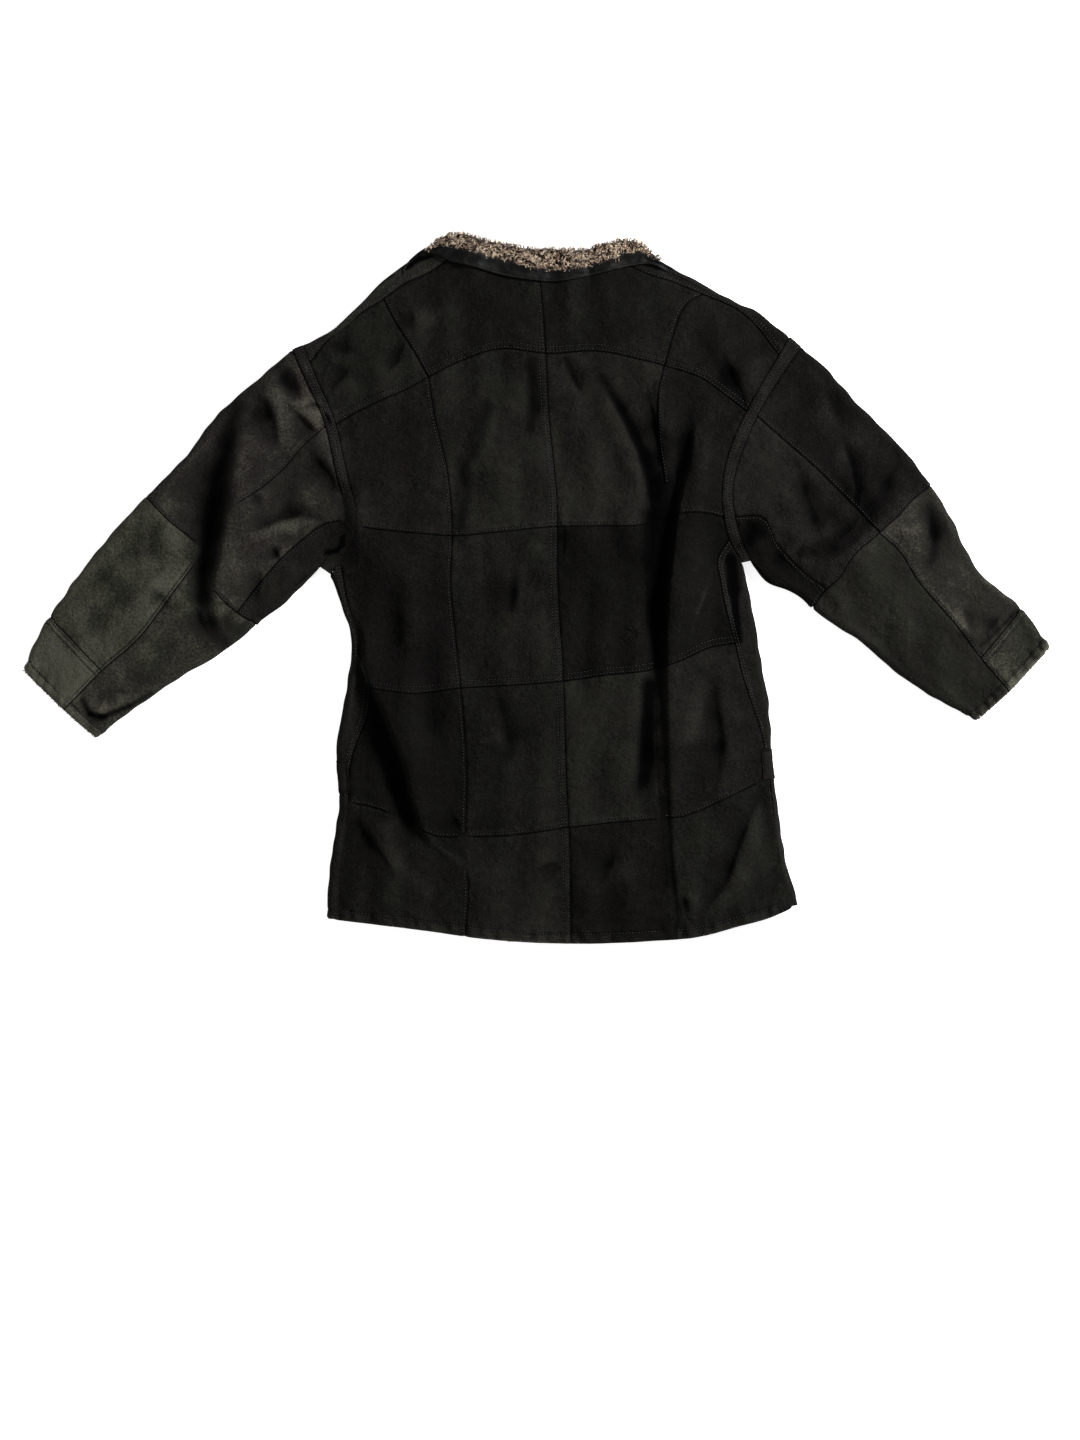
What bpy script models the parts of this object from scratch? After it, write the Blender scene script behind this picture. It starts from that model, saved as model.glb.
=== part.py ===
"""Sheepskin coat, laid flat on its fronts with its back up, sleeves spread.

The coat is a patchwork of pelts. Every piece is a wall of pelt, skin outside and wool
inside, that follows one shape: the height of the back above the ground, worked out
from the coat's loft and from its largest folds. At the sides, shoulders and sleeve
edges the wall rolls over a round edge and runs back underneath, flat on the ground.

All tables are in millimetres. x runs across the coat from the middle of the neck,
y runs from the waist up to the collar, and z is up. Left is the left of the coat as
seen from above.
"""

import math

import bmesh
import bpy
import numpy as np

MM = 0.001
SIDES = ("left", "right")
MIDDLE = (2.0, -1.6)  # the middle of the laid coat, which becomes the part's origin

# ---------------------------------------------------------------- driving sizes
PELT = 7.0  # the wall: skin and clipped wool
SEAM_GAP = 0.3  # between pieces that are sewn together
STRAP_GAP = 0.7  # between the armhole strap and the pieces on its two sides
EDGE_RADIUS = 8.0  # the outside of a rolled side edge, two walls and a little air
LOFT = 10.0  # how much higher the middle lies than the rolled edges
LOFT_RUN = 85.0  # how far in from an edge the loft is reached
LOWEST = 15.2  # the outside of the back never sinks below this
STRAP_RAISE = 2.0
HEM_MIDDLE_Y = -467.0
FRONT_EDGE_X = 36.0  # where the left front, the outermost one, ends past the middle
UNDERLAP_X = -36.0  # where the right front ends above it
STEP_FOOT_X = 54.0  # where the right front leaves the ground
STEP_TOP_X = 42.0  # where it has climbed over the left front
FALL_RISE = 9.5  # the collar's fall above the back it lies on
FALL_WALL = 8.0  # its skin and fur
STAND_DROP = 9.0  # the underside of the collar's stand below the back beside it
EDGING_SLOPE = 4.0  # how far the leather edging comes down to its free edge
NECK_ROOM = 0.5  # between the stand and the back's neck edge, with the seam's gap
COLLAR_TUCK = 7.0  # how far the front leaves stay hidden inside the roll
WELT_WIDTH = 7.0
WELT_THICKNESS = 2.4
STRAP_TUCK = 1.0  # extra room beside the strap where the armhole bends most
UNDER_TUCK = 2.2  # and all along it underneath
BUTTON_RADIUS = 13.0
BUTTON_WELL = 4.4
BUTTON_SIDES = 16
BUTTON_X = 6.0
BUTTON_ROWS_Y = (250.0, 110.0, -30.0, -170.0)

# How many cells each stretch of the patchwork is divided into.
CELLS = {
    "yoke": 5, "chest": 7, "waist": 8, "hip": 7, "hem": 6,
    "outer": 8, "inner": 7, "shoulder": 3, "neck": 4,
    "upper_arm": 9, "fore_arm": 7, "cuff": 3,
    "top_sleeve": 5, "back_sleeve": 5, "under_sleeve": 3,
    "roll": 4, "underneath": 2, "front_flat": 2, "front_neck": 4, "side_strip": 2,
    "armhole_under": 8, "strap": 20, "collar": 22, "fall": 1,
}

ARM_FOOT_CELLS = 3  # of the waist row's, those beside the armhole's foot

# ------------------------------------------------- seam and edge lines, rows (x, y)
LINES = {
    # outlines: the sleeve's and shoulder's upper edge, its lower edge, the side, the cuff
    "upper_edge_left": [
        (-173, 412), (-194, 402), (-220, 381), (-258, 345), (-284, 328), (-313, 315),
        (-365, 273), (-416, 229), (-464, 167), (-515, 116), (-572, 53), (-624, -17),
        (-657, -70), (-674, -109),
    ],
    "upper_edge_right": [
        (179, 420), (216, 402), (242, 386), (290, 363), (323, 338), (349, 317),
        (375, 295), (428, 238), (479, 187), (520, 136), (545, 96), (583, 22),
        (641, -29), (678, -80),
    ],
    "lower_edge_left": [
        (-283, 26), (-315, -8), (-365, -49), (-414, -88), (-470, -121), (-511, -149),
        (-549, -176), (-577, -200),
    ],
    "lower_edge_right": [
        (283, 34), (304, 7), (340, -8), (375, -37), (428, -72), (485, -120),
        (545, -157), (582, -176),
    ],
    "body_edge_left": [
        (-270, 17), (-250, -38), (-241, -74), (-245, -111), (-252, -155), (-261, -205),
        (-258, -288), (-267, -346), (-273, -406), (-273, -437),
    ],
    "body_edge_right": [
        (273, 32), (286, -26), (300, -111), (308, -157), (312, -223), (321, -300),
        (333, -373), (345, -410), (346, -419),
    ],
    "cuff_left": [(-674, -109), (-658, -125), (-619, -162), (-577, -200)],
    "cuff_right": [(678, -80), (644, -116), (623, -138), (582, -176)],
    "hem": [
        (-273, -437), (-211, -444), (-144, -452), (-74, -462), (47, -469), (146, -466),
        (215, -460), (273, -445), (307, -436), (346, -419),
    ],
    # sleeve seams
    "back_seam_left": [
        (-277, 209), (-307, 182), (-332, 153), (-365, 125), (-403, 99), (-437, 46),
        (-483, -18), (-520, -67), (-570, -111), (-619, -162),
    ],
    "back_seam_right": [
        (291, 224), (325, 194), (375, 150), (414, 111), (452, 71), (479, 46),
        (503, 8), (549, -46), (586, -94), (623, -138),
    ],
    "elbow_left": [
        (-512, 119), (-485, 91), (-437, 46), (-425, 4), (-391, -34), (-366, -50),
    ],
    "elbow_right": [
        (521, 134), (499, 117), (478, 95), (452, 71), (417, 40), (396, 8), (383, -3),
        (366, -26),
    ],
    "under_seam_left": [
        (-250, 88), (-281, 80), (-304, 63), (-332, 38), (-360, 7), (-391, -34),
    ],
    "under_seam_right": [(262, 92), (300, 90), (317, 58), (350, 22), (383, -3)],
    "cuff_seam_left": [(-639, -40), (-570, -111)],
    "cuff_seam_right": [(641, -29), (586, -94)],
    "front_seam_left": [
        (-266, 174), (-323, 95), (-395, 16), (-494, -76), (-560, -140), (-598, -182),
    ],
    "front_seam_right": [(265, 158), (336, 68), (428, -4), (520, -80), (599, -161)],
    # armhole strap, its side on the body and its side on the sleeve
    "strap_body_left": [
        (-306, 319), (-288, 274), (-262, 213), (-253, 174), (-245, 138), (-237, 108),
        (-237, 72), (-250, 45), (-270, 17),
    ],
    "strap_body_right": [
        (335, 328), (303, 274), (278, 230), (263, 198), (252, 165), (246, 128),
        (248, 92), (257, 59), (273, 32),
    ],
    "strap_sleeve_left": [
        (-319, 311), (-302, 274), (-275, 213), (-266, 174), (-258, 138), (-250, 108),
        (-250, 75), (-263, 51), (-283, 26),
    ],
    "strap_sleeve_right": [
        (350, 316), (316, 266), (291, 224), (278, 194), (265, 158), (259, 125),
        (262, 92), (271, 62), (283, 34),
    ],
    # seams of the body
    "side_seam_left": [
        (-257, 36), (-245, -30), (-234, -80), (-217, -136), (-220, -167), (-236, -208),
        (-244, -238), (-246, -283), (-253, -346), (-258, -386), (-258, -439),
    ],
    "side_seam_right": [
        (255, 62), (240, 36), (244, 8), (250, -24), (263, -74), (274, -119),
        (288, -161), (301, -202), (306, -252), (311, -300), (322, -360), (332, -399),
        (334, -424),
    ],
    "shoulder_seam_left": [
        (-112, 431), (-146, 410), (-170, 400), (-199, 378), (-229, 360), (-253, 341),
        (-273, 324), (-296, 295),
    ],
    "shoulder_seam_right": [
        (121, 424), (149, 411), (184, 400), (220, 385), (245, 375), (266, 365),
        (290, 344), (320, 305),
    ],
    "slant_left": [(-199, 378), (-184, 349), (-157, 306), (-140, 275)],
    "slant_right": [(220, 385), (202, 374), (179, 323), (170, 290)],
    "column_left": [
        (-140, 275), (-133, 228), (-116, 154), (-109, 68), (-111, 8), (-104, -71),
        (-95, -158), (-90, -241), (-91, -354), (-88, -399), (-92, -458),
    ],
    "centre_back": [
        (5, 412), (11, 352), (14, 304), (18, 224), (28, 119), (30, -7), (37, -122),
        (41, -253), (45, -336), (47, -469),
    ],
    "column_right": [
        (170, 290), (163, 261), (165, 173), (171, 128), (171, 88), (167, 30),
        (162, -63), (159, -149), (162, -259), (170, -346), (175, -407), (178, -464),
    ],
    "yoke_seam": [
        (-262, 213), (-217, 238), (-170, 259), (-140, 275), (-100, 295), (-47, 312),
        (14, 306), (84, 309), (138, 298), (170, 290), (220, 273), (253, 249),
        (278, 230),
    ],
    "chest_seam": [
        (-237, 80), (-203, 75), (-149, 70), (-109, 67), (-59, 71), (29, 79), (80, 80),
        (149, 84), (171, 92), (217, 97), (248, 92),
    ],
    "waist_seam": [
        (-217, -133), (-158, -140), (-97, -133), (-26, -129), (37, -124), (86, -117),
        (162, -107), (194, -96), (229, -80), (263, -74),
    ],
    "hip_seam": [
        (-246, -283), (-208, -291), (-167, -309), (-130, -327), (-90, -328),
        (-42, -327), (43, -316), (86, -311), (165, -304), (190, -302), (242, -282),
        (273, -267), (306, -252),
    ],
    # collar
    "neck_seam": [
        (-112, 431), (-86, 425), (-46, 417), (5, 412), (53, 414), (92, 420), (121, 424),
    ],
    "collar_top": [
        (-142, 445), (-128, 456), (-100, 466), (-68, 459), (-47, 456), (-5, 447),
        (18, 447), (58, 446), (84, 452), (117, 457), (138, 454), (153, 445), (167, 434),
    ],
    "collar_fur_edge": [
        (-181, 412), (-172, 430), (-159, 441), (-141, 440), (-122, 446), (-88, 439),
        (-41, 428), (17, 415), (46, 415), (96, 427), (134, 440), (163, 428), (183, 418),
    ],
    "collar_free_edge": [
        (-169, 407), (-158, 426), (-145, 434), (-128, 434), (-83, 419), (-24, 404),
        (33, 400), (84, 410), (129, 421), (149, 423), (177, 412),
    ],
    # underneath, hidden: the fronts' shoulder seams and neckline
    "front_shoulder_left": [(-154, 381), (-194, 362), (-229, 332), (-290, 278)],
    "front_shoulder_right": [(162, 389), (204, 374), (250, 349), (305, 278)],
    "front_neck": [(-154, 381), (-86, 354), (4, 342), (94, 354), (162, 389)],
}

# The largest folds: where the upper layer's edge runs, rows (x, y, height of the edge).
# The upper layer lies to the right of the line as it is walked, or left if side is -1.
FOLDS = {
    "right_side_fold": {
        "rows": [
            (199, 200, 0), (196, 142, 14), (187, 92, 22), (180, 30, 25), (176, -63, 24),
            (175, -149, 21), (179, -259, 18), (186, -346, 16), (190, -407, 14),
            (196, -471, 12),
        ],
        "side": -1, "wall": 8, "run": 75, "dip": 8, "dip_run": 20,
    },
    "left_side_fold": {
        "rows": [
            (-243, -35, 0), (-238, -83, 10), (-220, -128, 17), (-196, -182, 20),
            (-175, -236, 18), (-161, -292, 12), (-144, -331, 6), (-108, -362, 0),
        ],
        "side": -1, "wall": 8, "run": 60, "dip": 7, "dip_run": 20,
    },
    "left_elbow_fold": {
        "rows": [
            (-389, 245, 0), (-407, 199, 4), (-421, 150, 8), (-423, 61, 10),
            (-430, 15, 8), (-424, -49, 0),
        ],
        "side": -1, "wall": 7, "run": 45, "dip": 6, "dip_run": 14,
    },
    "right_elbow_fold": {
        "rows": [
            (490, 200, 0), (464, 138, 5), (443, 104, 8), (414, 66, 8), (378, 43, 3),
            (350, 45, 0),
        ],
        "side": 1, "wall": 9, "run": 45, "dip": 5, "dip_run": 16,
    },
}

# How the right front climbs over the left one's edge, rows
# (x, height of its underside, its underside's direction: x, z)
LAP = [
    (STEP_FOOT_X - 4, 1.0, 0.45, -0.89), (STEP_TOP_X + 3, PELT - 1.5, 0.75, -0.66),
    (STEP_TOP_X - 3, PELT + 0.8, 0.3, -0.95), (0.0, PELT + 0.8, 0.0, -1.0),
    (UNDERLAP_X, PELT + 0.8, 0.0, -1.0),
]

# Where the collar's fur, its stand and its front leaves end, (x, y) on each side
COLLAR_ENDS = {
    "left": {"fur": (-141, 440), "stand": (-140.0, 425.5), "leaf": (-169.0, 424.0)},
    "right": {"fur": (163, 428), "stand": (160.0, 420.5), "leaf": (172.0, 424.0)},
}
LEAF_TOP_Y = 440.0  # the top of the leaves where they meet at the left front's edge
WELTS = {"left": (-228, -272), "right": (-212, -252)}  # their upper and lower y
BUTTON_PROFILE = [
    (0.0, 3.4), (BUTTON_RADIUS - 1, 3.4), (BUTTON_RADIUS, 1.8),
    (BUTTON_RADIUS - 1.2, 0.4), (9.5, 0.4), (8.5, 1.3), (0.0, 1.4),
]  # rows (radius, height), the button's back first

COLOURS = {
    "nubuck": (0.0102, 0.0100, 0.0093),
    "worn_nubuck": (0.0185, 0.0185, 0.0160),
    "leather": (0.0160, 0.0160, 0.0150),
    "fur": (0.1700, 0.1250, 0.0850),
    "horn": (0.0120, 0.0085, 0.0065),
}


# ---------------------------------------------------------------- lines in plan
def smooth(rows, step=2.0):
    """A line's rows joined by a smooth curve (cubic Hermite, chord-length knots)."""
    p = np.array(rows, float)
    gap = np.linalg.norm(np.diff(p[:, :2], axis=0), axis=1)
    knot = np.concatenate([[0], np.cumsum(gap)])
    slope = np.diff(p, axis=0) / gap[:, None]
    tangent = np.concatenate([slope[:1], np.zeros((len(p) - 2, p.shape[1])), slope[-1:]])
    before, after = gap[:-1, None], gap[1:, None]
    tangent[1:-1] = (slope[:-1] * after + slope[1:] * before) / (before + after)
    t = np.linspace(0, knot[-1], int(knot[-1] / step) + 2)
    k = np.clip(np.searchsorted(knot, t, side="right") - 1, 0, len(gap) - 1)
    s = ((t - knot[k]) / gap[k])[:, None]
    h = gap[k][:, None]
    return (
        (2 * s**3 - 3 * s**2 + 1) * p[k]
        + (s**3 - 2 * s**2 + s) * h * tangent[k]
        + (3 * s**2 - 2 * s**3) * p[k + 1]
        + (s**3 - s**2) * h * tangent[k + 1]
    )


CURVES = {name: smooth(rows) for name, rows in LINES.items()}
ROLLED = [
    CURVES[kind + "_" + side][::3]
    for kind in ("upper_edge", "lower_edge", "body_edge")
    for side in ("left", "right")
]


def meeting(first, second):
    """The point where two lines cross or come nearest to each other."""
    a, b = CURVES[first], CURVES[second]
    away = np.linalg.norm(a[:, None] - b[None], axis=2)
    i, j = np.unravel_index(np.argmin(away), away.shape)
    return (a[i] + b[j]) / 2


def stretch(name, start, end):
    """The part of a line between two points near it, ending exactly at them."""
    line = CURVES[name]
    i = int(np.argmin(np.linalg.norm(line - start, axis=1)))
    j = int(np.argmin(np.linalg.norm(line - end, axis=1)))
    part = line[i:j + 1] if i <= j else line[j:i + 1][::-1]
    inner = [p for p in part if min(np.linalg.norm(p - start), np.linalg.norm(p - end)) > 3]
    return np.array([start, *inner, end])


def from_line(x, y, line):
    """Signed distance of points to a line, left of it positive, and the row it is at."""
    point = np.stack([np.ravel(x), np.ravel(y)], axis=1)
    best = np.full(len(point), np.inf)
    signed = np.zeros(len(point))
    value = np.zeros(len(point))
    for a, b in zip(line[:-1], line[1:]):
        along = b[:2] - a[:2]
        t = np.clip(((point - a[:2]) @ along) / (along @ along), 0, 1)
        rest = point - a[:2] - t[:, None] * along
        away = np.linalg.norm(rest, axis=1)
        near = away < best
        cross = along[0] * rest[:, 1] - along[1] * rest[:, 0]
        best[near] = away[near]
        signed[near] = (np.sign(cross) * away)[near]
        if line.shape[1] > 2:
            value[near] = (a[2] + t * (b[2] - a[2]))[near]
    return signed.reshape(np.shape(x)), value.reshape(np.shape(x))


# ---------------------------------------------------------------- the coat's height
def soft_step(t):
    t = np.clip(t, 0, 1)
    return t * t * (3 - 2 * t)


FOLD_CURVES = {name: smooth(fold["rows"], 12.0) for name, fold in FOLDS.items()}


def edge_distance(x, y):
    """How far a point lies inside the nearest rolled edge."""
    away = [np.abs(from_line(x, y, line)[0]) for line in ROLLED]
    return np.min(away, axis=0)


def height(x, y):
    """Height of the coat's outside: loft from the edges in, and the large folds."""
    inside = np.maximum(edge_distance(x, y) - EDGE_RADIUS, 0)
    z = 2 * EDGE_RADIUS + LOFT * soft_step(inside / LOFT_RUN)
    calm = soft_step(inside / 12.0)
    for name, fold in FOLDS.items():
        s, tall = from_line(x, y, FOLD_CURVES[name])
        s = s * -fold["side"]
        wall, strength = fold["wall"], tall / 20.0
        rise = soft_step((s + wall) / (2 * wall))
        decay = 1 - soft_step((s - wall) / fold["run"])
        dip = np.exp(-(((s + wall + 2) / fold["dip_run"]) ** 2)) * np.minimum(strength, 1)
        z = z + calm * (tall * rise * decay - fold["dip"] * dip)
    low = LOWEST + 1.5
    return np.where(z > low, z, LOWEST + 1.5 * np.exp(np.minimum(z - low, 0) / 1.5))


def normal(x, y):
    """The outward direction of the coat's outside at points in plan."""
    d = 0.5
    sx = (height(x + d, y) - height(x - d, y)) / (2 * d)
    sy = (height(x, y + d) - height(x, y - d)) / (2 * d)
    n = np.stack([-sx, -sy, np.ones_like(sx)], axis=-1)
    return n / np.linalg.norm(n, axis=-1, keepdims=True)


def closeness(line):
    """How many times closer the grid lines stand near a fold's edge."""
    mid = (line[1:] + line[:-1]) / 2
    weight = np.ones(len(mid))
    for name, fold in FOLDS.items():
        s, tall = from_line(mid[:, 0], mid[:, 1], FOLD_CURVES[name])
        weight += 1.6 * np.minimum(tall / 12, 1) * np.exp(-((s / 20.0) ** 2))
    return weight


def divided(line, cells):
    """A line divided into cells, closer together at the folds."""
    step = np.linalg.norm(np.diff(line, axis=0), axis=1) * closeness(line)
    along = np.concatenate([[0], np.cumsum(step)])
    at = np.linspace(0, along[-1], cells + 1)
    return np.stack([np.interp(at, along, line[:, k]) for k in range(2)], axis=1)


def run(*parts):
    """Divided stretches (name, start, end, cells) joined end to end."""
    rows = [divided(stretch(name, start, end), cells) for name, start, end, cells in parts]
    return np.concatenate([rows[0], *[row[1:] for row in rows[1:]]])


def filled(first, last, left, right):
    """A grid inside four lines (a Coons patch): first and last row, left and right side."""
    u = np.linspace(0, 1, len(first))[None, :, None]
    v = np.linspace(0, 1, len(left))[:, None, None]
    corners = (
        (1 - u) * (1 - v) * first[0] + u * (1 - v) * first[-1]
        + (1 - u) * v * last[0] + u * v * last[-1]
    )
    return (
        (1 - v) * first[None] + v * last[None] + (1 - u) * left[:, None]
        + u * right[:, None] - corners
    )


# ---------------------------------------------------------------- walls of pelt
class Edge:
    """A rolled edge: points along an outline, and the line where the roll begins."""

    def __init__(self, name, *parts):
        line = CURVES[name]
        outward = (-1 if name.startswith("lower_edge") else 1) * (1 if name.endswith("left") else -1)
        rows = run(*[(name, *part) for part in parts])
        near = np.argmin(np.linalg.norm(line[:, None] - rows[None], axis=2), axis=0)
        ahead = line[np.minimum(near + 4, len(line) - 1)] - line[np.maximum(near - 4, 0)]
        ahead /= np.linalg.norm(ahead, axis=1, keepdims=True)
        self.out = np.stack([ahead[:, 1], -ahead[:, 0]], axis=1) * outward
        self.rows = rows
        self.inner = rows - EDGE_RADIUS * self.out


def on_top(grid):
    """A grid in plan, lifted onto the coat: its points and outward directions."""
    x, y = grid[..., 0], grid[..., 1]
    return np.dstack([x, y, height(x, y)]), normal(x, y)


def rolled(edge):
    """The round edge between the top and the underside, without its first and last line."""
    turn = np.linspace(0, math.pi, CELLS["roll"] + 1)[1:-1]
    across = np.sin(turn)[None, :, None] * edge.out[:, None]
    up = np.broadcast_to(np.cos(turn)[None, :, None], (len(edge.rows), len(turn), 1))
    out = np.concatenate([across, up], axis=2)
    centre = np.concatenate(
        [edge.inner, np.full((len(edge.inner), 1), EDGE_RADIUS)], axis=1
    )
    return centre[:, None] + EDGE_RADIUS * out, out


def underneath(grid, lift=0.0):
    """A grid in plan, flat on the ground or lifted from it, facing down."""
    z = np.zeros(grid.shape[:2]) + lift
    return np.dstack([grid, z]), np.broadcast_to((0.0, 0.0, -1.0), (*grid.shape[:2], 3)).copy()


def beside(*parts):
    """Grids joined side by side into one."""
    return tuple(np.concatenate([part[k] for part in parts], axis=1) for k in range(2))


def below(*parts):
    """Grids joined end to end into one."""
    return tuple(np.concatenate([part[k] for part in parts], axis=0) for k in range(2))


def seams_in(points, out, gap):
    """The outer grid with each side drawn in by half a seam's gap, within the surface."""
    moved = points.copy()
    sides = (
        (np.s_[0, :], np.s_[1, :]), (np.s_[-1, :], np.s_[-2, :]),
        (np.s_[:, 0], np.s_[:, 1]), (np.s_[:, -1], np.s_[:, -2]),
    )
    for side, neighbour in sides:
        line, normals = points[side], out[side]
        along = np.gradient(line, axis=0)
        inward = np.cross(normals, along)
        inward /= np.maximum(np.linalg.norm(inward, axis=1, keepdims=True), 1e-9)
        toward = ((points[neighbour] - line) * inward).sum(axis=1, keepdims=True)
        moved[side] = moved[side] + gap / 2 * inward * np.sign(np.median(toward))
    return moved


def wall_mesh(name, points, out, thickness=PELT, raised=0.0, gap=SEAM_GAP):
    """A closed wall: an outer grid, the same grid moved in along its normals, and a rim."""
    outer = seams_in(points, out, gap) + out * np.asarray(raised)
    inner = outer - out * (np.asarray(thickness) + np.asarray(raised))
    rows, columns = outer.shape[:2]
    coordinates = np.concatenate([outer.reshape(-1, 3), inner.reshape(-1, 3)])
    number = np.arange(rows * columns).reshape(rows, columns)
    far = number + rows * columns
    quads = [
        np.stack([g[:-1, :-1], g[:-1, 1:], g[1:, 1:], g[1:, :-1]], axis=-1).reshape(-1, 4)
        for g in (number, far[:, ::-1])
    ]
    ring = np.concatenate(
        [number[0, :-1], number[:-1, -1], number[-1, :0:-1], number[:0:-1, 0]]
    )
    ahead = np.roll(ring, -1)
    offset = rows * columns
    order = coordinates @ (1.0, 0.618, 0.0)
    first = (order[ring] < order[ahead])[:, None]
    rim = np.concatenate(
        [
            np.where(
                first,
                np.stack([ring, ring + offset, ahead + offset], axis=1),
                np.stack([ring, ring + offset, ahead], axis=1),
            ),
            np.where(
                first,
                np.stack([ring, ahead + offset, ahead], axis=1),
                np.stack([ring + offset, ahead + offset, ahead], axis=1),
            ),
        ]
    )
    return solid(name, coordinates, np.concatenate(quads).tolist() + rim.tolist())


def solid(name, coordinates, faces):
    """A mesh object from points and faces, welded, with its faces turned outwards."""
    mesh = bpy.data.meshes.new(name)
    mesh.from_pydata(((coordinates - (*MIDDLE, 0.0)) * MM).tolist(), [], faces)
    work = bmesh.new()
    work.from_mesh(mesh)
    bmesh.ops.remove_doubles(work, verts=work.verts, dist=2e-6)
    bmesh.ops.recalc_face_normals(work, faces=work.faces)
    if work.calc_volume(signed=True) < 0:
        bmesh.ops.reverse_faces(work, faces=work.faces)
    work.to_mesh(mesh)
    work.free()
    mesh.shade_smooth()
    mesh.set_sharp_from_angle(angle=math.radians(40))
    made = bpy.data.objects.new(name, mesh)
    COAT.objects.link(made)
    return made


def finish(made, colour, roughness):
    """Gives an object its own plain material."""
    material = bpy.data.materials.new(made.name)
    material.use_nodes = True
    shader = material.node_tree.nodes["Principled BSDF"]
    shader.inputs["Base Color"].default_value = (*COLOURS[colour], 1)
    shader.inputs["Roughness"].default_value = roughness
    shader.inputs["Metallic"].default_value = 0.0
    material.diffuse_color = (*COLOURS[colour], 1)
    made.data.materials.append(material)
    return made


# ---------------------------------------------------------------- the back
def back_corners():
    """Where the seams of the back cross: a row of five points for each cross seam."""
    rows = {}
    for seam in ("yoke_seam", "chest_seam", "waist_seam", "hip_seam", "hem"):
        ends = {
            side: meeting(
                seam,
                ("strap_body_" if seam in ("yoke_seam", "chest_seam") else "side_seam_") + side,
            )
            for side in SIDES
        }
        rows[seam] = [
            ends["left"], meeting(seam, "column_left"), meeting(seam, "centre_back"),
            meeting(seam, "column_right"), ends["right"],
        ]
    return rows


def back_side(side, corner, upper, lower, cells):
    """The outer edge of the back between two cross seams: the armhole, then the side seam."""
    k = 0 if side == "left" else -1
    top, bottom = corner[upper][k], corner[lower][k]
    if upper == "yoke_seam":
        return run(("strap_body_" + side, top, bottom, cells))
    if upper == "chest_seam":
        arm = meeting("strap_body_" + side, "side_seam_" + side)
        return run(
            ("strap_body_" + side, top, arm, ARM_FOOT_CELLS),
            ("side_seam_" + side, arm, bottom, cells - ARM_FOOT_CELLS),
        )
    return run(("side_seam_" + side, top, bottom, cells))


def build_back(corner):
    """Sixteen pelts: four columns, each cut across at the chest, the waist and the hip."""
    steps = (
        ("chest", "yoke_seam", "chest_seam"), ("waist", "chest_seam", "waist_seam"),
        ("hip", "waist_seam", "hip_seam"), ("hem", "hip_seam", "hem"),
    )
    columns = (
        ("outer_left", 0, "outer"), ("inner_left", 1, "inner"),
        ("inner_right", 2, "inner"), ("outer_right", 3, "outer"),
    )
    upright = {1: "column_left", 2: "centre_back", 3: "column_right"}
    for part, upper, lower in steps:
        cells = CELLS[part]
        for column, k, width in columns:
            sides = [
                back_side("left" if i == 0 else "right", corner, upper, lower, cells)
                if i in (0, 4)
                else run((upright[i], corner[upper][i], corner[lower][i], cells))
                for i in (k, k + 1)
            ]
            grid = filled(
                run((upper, corner[upper][k], corner[upper][k + 1], CELLS[width])),
                run((lower, corner[lower][k], corner[lower][k + 1], CELLS[width])),
                sides[0], sides[1],
            )
            name = "back_" + column + "_" + part
            finish(wall_mesh(name, *on_top(grid)), "nubuck", 0.92)


def build_yokes(corner):
    """The centre yokes beside the neck and the outer yokes over the shoulder blades."""
    for side in SIDES:
        here = -1 if side == "left" else 1
        column = corner["yoke_seam"][1 if side == "left" else 3]
        middle, outside = corner["yoke_seam"][2], corner["yoke_seam"][0 if here < 0 else 4]
        shoulder, slant = "shoulder_seam_" + side, "slant_" + side
        slant_top, neck_end = meeting(slant, shoulder), meeting("neck_seam", shoulder)
        neck_middle = meeting("neck_seam", "centre_back")
        slanted = run((slant, slant_top, column, CELLS["yoke"]))
        centre = filled(
            run(
                (shoulder, slant_top, neck_end, CELLS["shoulder"]),
                ("neck_seam", neck_end, neck_middle, CELLS["neck"]),
            ),
            run(("yoke_seam", column, middle, CELLS["inner"])),
            slanted,
            run(("centre_back", neck_middle, middle, CELLS["yoke"])),
        )
        finish(wall_mesh("yoke_centre_" + side, *on_top(centre)), "nubuck", 0.92)
        arm_top = meeting("strap_body_" + side, shoulder)
        outer = filled(
            run((shoulder, slant_top, arm_top, CELLS["outer"])),
            run(("yoke_seam", column, outside, CELLS["outer"])),
            slanted,
            run(("strap_body_" + side, arm_top, outside, CELLS["yoke"])),
        )
        finish(wall_mesh("yoke_outer_" + side, *on_top(outer)), "nubuck", 0.92)


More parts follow.
